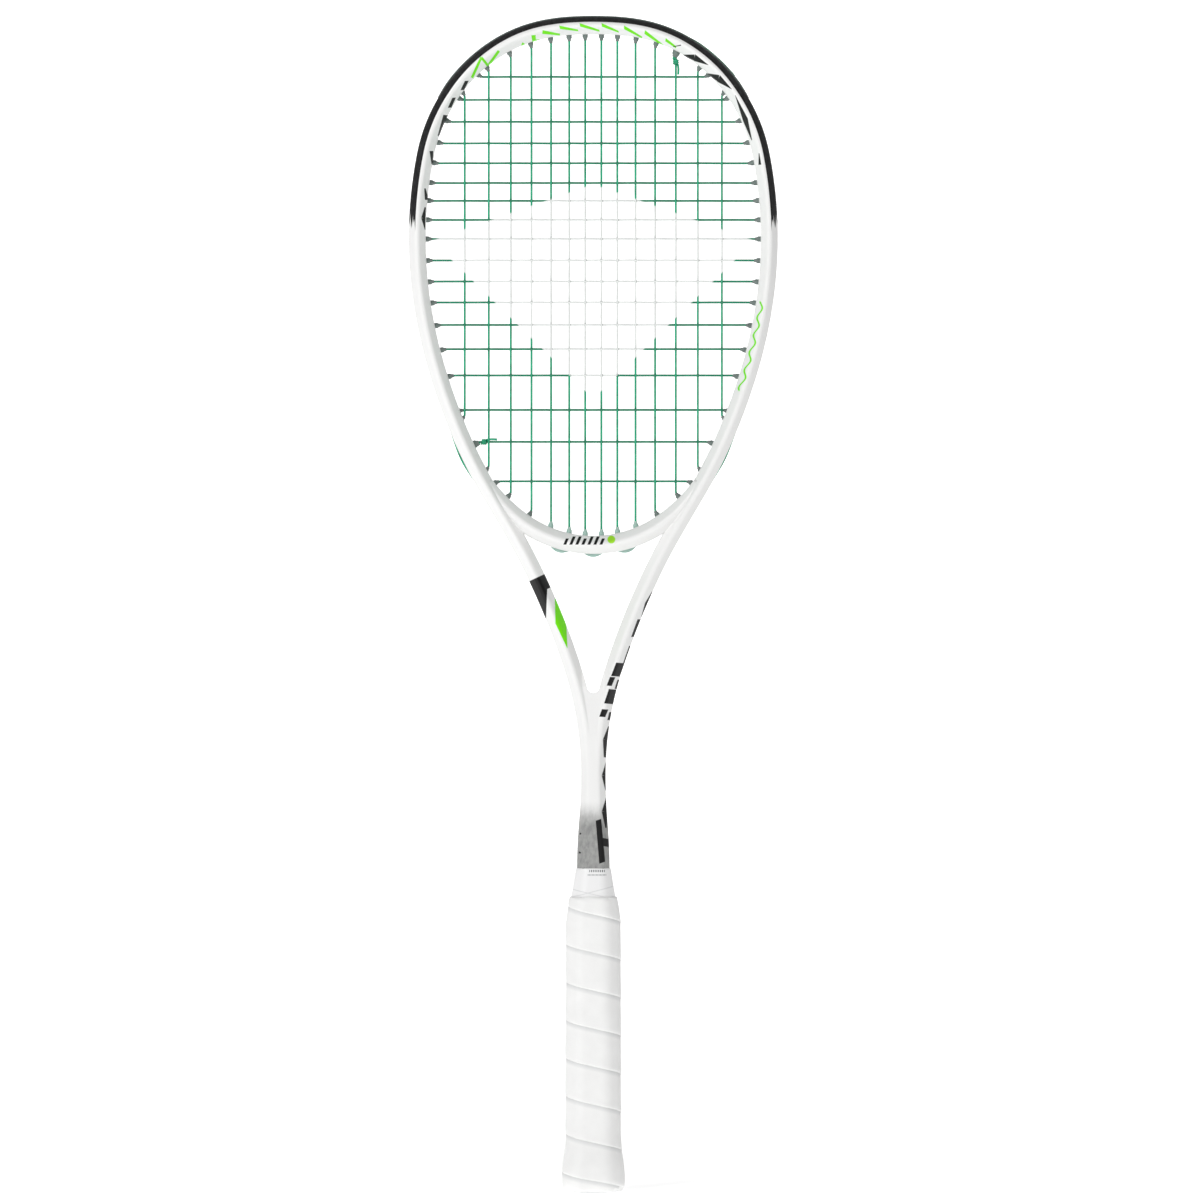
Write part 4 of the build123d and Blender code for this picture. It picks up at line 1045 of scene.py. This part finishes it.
# %% Finishing tape
vinyl_tape, tree, shader, in_mm = finish("printed vinyl tape")
parts = add(tree, "SeparateXYZ", {0: in_mm}).outputs
micro = 0.0
for row_z, half_row, pitch, middle_x, half_x in ((187.2, 0.75, 1.25, 2.2, 4.6), (184.9, 0.4, 0.8, 2.1, 5.5)):
    wave = add(tree, "Math", {0: parts["X"], 1: 2 * pi / pitch}, operation="MULTIPLY")
    wave = add(tree, "Math", {0: wave}, operation="SINE")
    dash = add(tree, "MapRange", {0: wave, 1: -0.3, 2: 0.2})
    in_row = within(tree, parts["Z"], row_z, half_row, 0.15)
    in_x = within(tree, parts["X"], middle_x, half_x, 0.2)
    for inside in (in_row, in_x):
        dash = add(tree, "Math", {0: dash, 1: inside}, operation="MULTIPLY")
    micro = add(tree, "Math", {0: dash, 1: micro}, operation="MAXIMUM")
# painted shade: a faint grey line along each slanted edge where the tape's end laps over itself
laps = []
for slope, lap_z in ((0.24, 173.6), (-0.26, 175.2)):
    slanted = add(tree, "Math", {0: parts["X"], 1: slope, 2: parts["Z"]}, operation="MULTIPLY_ADD")
    laps.append(within(tree, slanted, lap_z, 0.45, 0.35))
lap_line = add(tree, "Math", {0: laps[0], 1: laps[1]}, operation="MAXIMUM")
lap_shade_share = add(tree, "Math", {0: lap_line, 1: 0.3}, operation="MULTIPLY")
colour = linear("#F5F5F5")
for share, ink_and_shade in ((micro, "#6E7072"), (lap_shade_share, "#9FA1A3")):
    colour = add(tree, "Mix", {"Factor": share, 6: colour, 7: linear(ink_and_shade)}, data_type="RGBA").outputs[2]
tree.links.new(colour, shader.inputs["Base Color"])
wrinkle = add(tree, "TexNoise", {"Vector": in_mm, "Scale": 0.4, "Detail": 2.0})
plug_in(tree, shader, bump=wrinkle, strength=0.2, depth=0.1)
shader.inputs["Roughness"].default_value = 0.35
TAPE_ROWS = [(170.6, 12.9, 12.0, 6.2), (172.1, 13.0, 12.1, 6.2), (175.0, 12.55, 11.8, 6.0),
             (180.0, 11.7, 11.2, 5.6), (186.0, 10.75, 10.4, 5.2), (188.2, 10.35, 9.95, 5.0),
             (188.65, 10.1, 9.75, 5.0), (188.7, 9.7, 9.4, 4.9)]
rings = [[(x, y, z) for x, y in octagon_ring(*sizes)] for z, *sizes in TAPE_ROWS]
under_wrap = [(x * 0.9, y * 0.9, 170.5) for x, y, z in rings[0]]
turned_in = [(x * 0.86, y * 0.9, 188.6) for x, y, z in rings[-1]]
points, faces = loft([under_wrap] + rings + [turned_in])
piece("closing_tape", points, faces, vinyl_tape, ["finishing_tape"])

# %% Butt cap
cap_plastic = moulded_nylon("white moulded butt cap", "#D6D7D7", "#E4E5E5", 0.0)
CAP_ROWS = [(0.0, 6.0, 5.2, 2.6), (0.05, 12.4, 10.7, 5.6), (0.35, 14.2, 12.4, 6.6),
            (1.1, 15.6, 13.8, 7.2), (2.4, 16.4, 14.5, 7.4), (6.0, 16.7, 14.8, 7.4),
            (18.0, 16.2, 14.3, 7.2), (21.9, 14.85, 12.95, 7.0)]
rings = [[(x, y, z) for x, y in octagon_ring(*sizes)] for z, *sizes in CAP_ROWS]
points, faces = loft(rings)
piece("butt_end_cap", points, faces, cap_plastic, ["butt_cap"])

# %% [markdown]
# ## Studio
# The racket stands on a plain pale floor that turns up into a backdrop behind it. A big soft light
# from the upper left makes the whites turn from bright to grey round the tube, and a white world
# fills the rest.

# %% Floor, backdrop, lights and camera
card, tree, shader, in_mm = finish("white paper card")
fibre = add(tree, "TexNoise", {"Vector": in_mm, "Scale": 0.2, "Detail": 2.0})
paper = add(tree, "ValToRGB", {0: fibre}, stops=((0.0, "#FDFDFD"), (1.0, "#FFFFFF")))
tree.links.new(paper.outputs[0], shader.inputs["Base Color"])
shader.inputs["Roughness"].default_value = 1.0
shader.inputs["Specular IOR Level"].default_value = 0.0
shader.inputs["Emission Color"].default_value = (1.0, 1.0, 1.0, 1.0)
# the far wall glows a little more, as if lit by its own lamps
how_far = add(tree, "SeparateXYZ", {0: in_mm}).outputs["Y"]
glow = add(tree, "MapRange", {0: how_far, 1: 1500.0, 2: 5500.0, 3: 0.5, 4: 0.85})
tree.links.new(glow.outputs[0], shader.inputs["Emission Strength"])
wall_start, wall_bend = 5.4, 1.6
sweep_line = [(-9.0, 0.0)] + [(0.6 * k, 0.0) for k in range(10)]
sweep_line += [(wall_start + wall_bend * sin(a), wall_bend - wall_bend * cos(a)) for a in
               (pi / 2 * k / 12 for k in range(1, 13))] + [(wall_start + wall_bend, 7.0)]
mesh = bpy.data.meshes.new("backdrop")
mesh.from_pydata([(x, y, z) for y, z in sweep_line for x in (-8.0, 8.0)], [],
                 [(2 * k, 2 * k + 1, 2 * k + 3, 2 * k + 2) for k in range(len(sweep_line) - 1)])
mesh.shade_smooth()
mesh.materials.append(card)
backdrop = bpy.data.objects.new("backdrop", mesh)
bpy.context.scene.collection.objects.link(backdrop)

world = bpy.data.worlds.new("soft studio")
world.use_nodes = True
world.node_tree.nodes["Background"].inputs["Color"].default_value = (1.0, 1.0, 1.0, 1.0)
world.node_tree.nodes["Background"].inputs["Strength"].default_value = 0.3
bpy.context.scene.world = world


def soft_light(name, place, aim, width, power):
    lamp = bpy.data.lights.new(name, "AREA")
    lamp.size, lamp.energy = width, power
    thing = bpy.data.objects.new(name, lamp)
    thing.location = place
    thing.rotation_euler = (Vector(aim) - Vector(place)).to_track_quat("-Z", "Y").to_euler()
    bpy.context.scene.collection.objects.link(thing)


middle = Vector((0.0039, 0.0, 0.3448))
soft_light("key", (-1.5, -3.0, 2.3), middle, 1.2, 60.0)
lens = bpy.data.cameras.new("camera")
eye = bpy.data.objects.new("camera", lens)
distance, seen = 6.0, 0.699
lens.lens, lens.sensor_width = 36.0 * distance / seen, 36.0
lens.clip_end = 60.0
eye.location = middle + Vector((0.0, -distance, 0.0))
eye.rotation_euler = (pi / 2, 0.0, 0.0)
bpy.context.scene.collection.objects.link(eye)
bpy.context.scene.camera = eye
bpy.context.scene.view_settings.view_transform = "Standard"
print("camera", tuple(round(v, 4) for v in eye.location), "lens", round(lens.lens, 1), "mm")
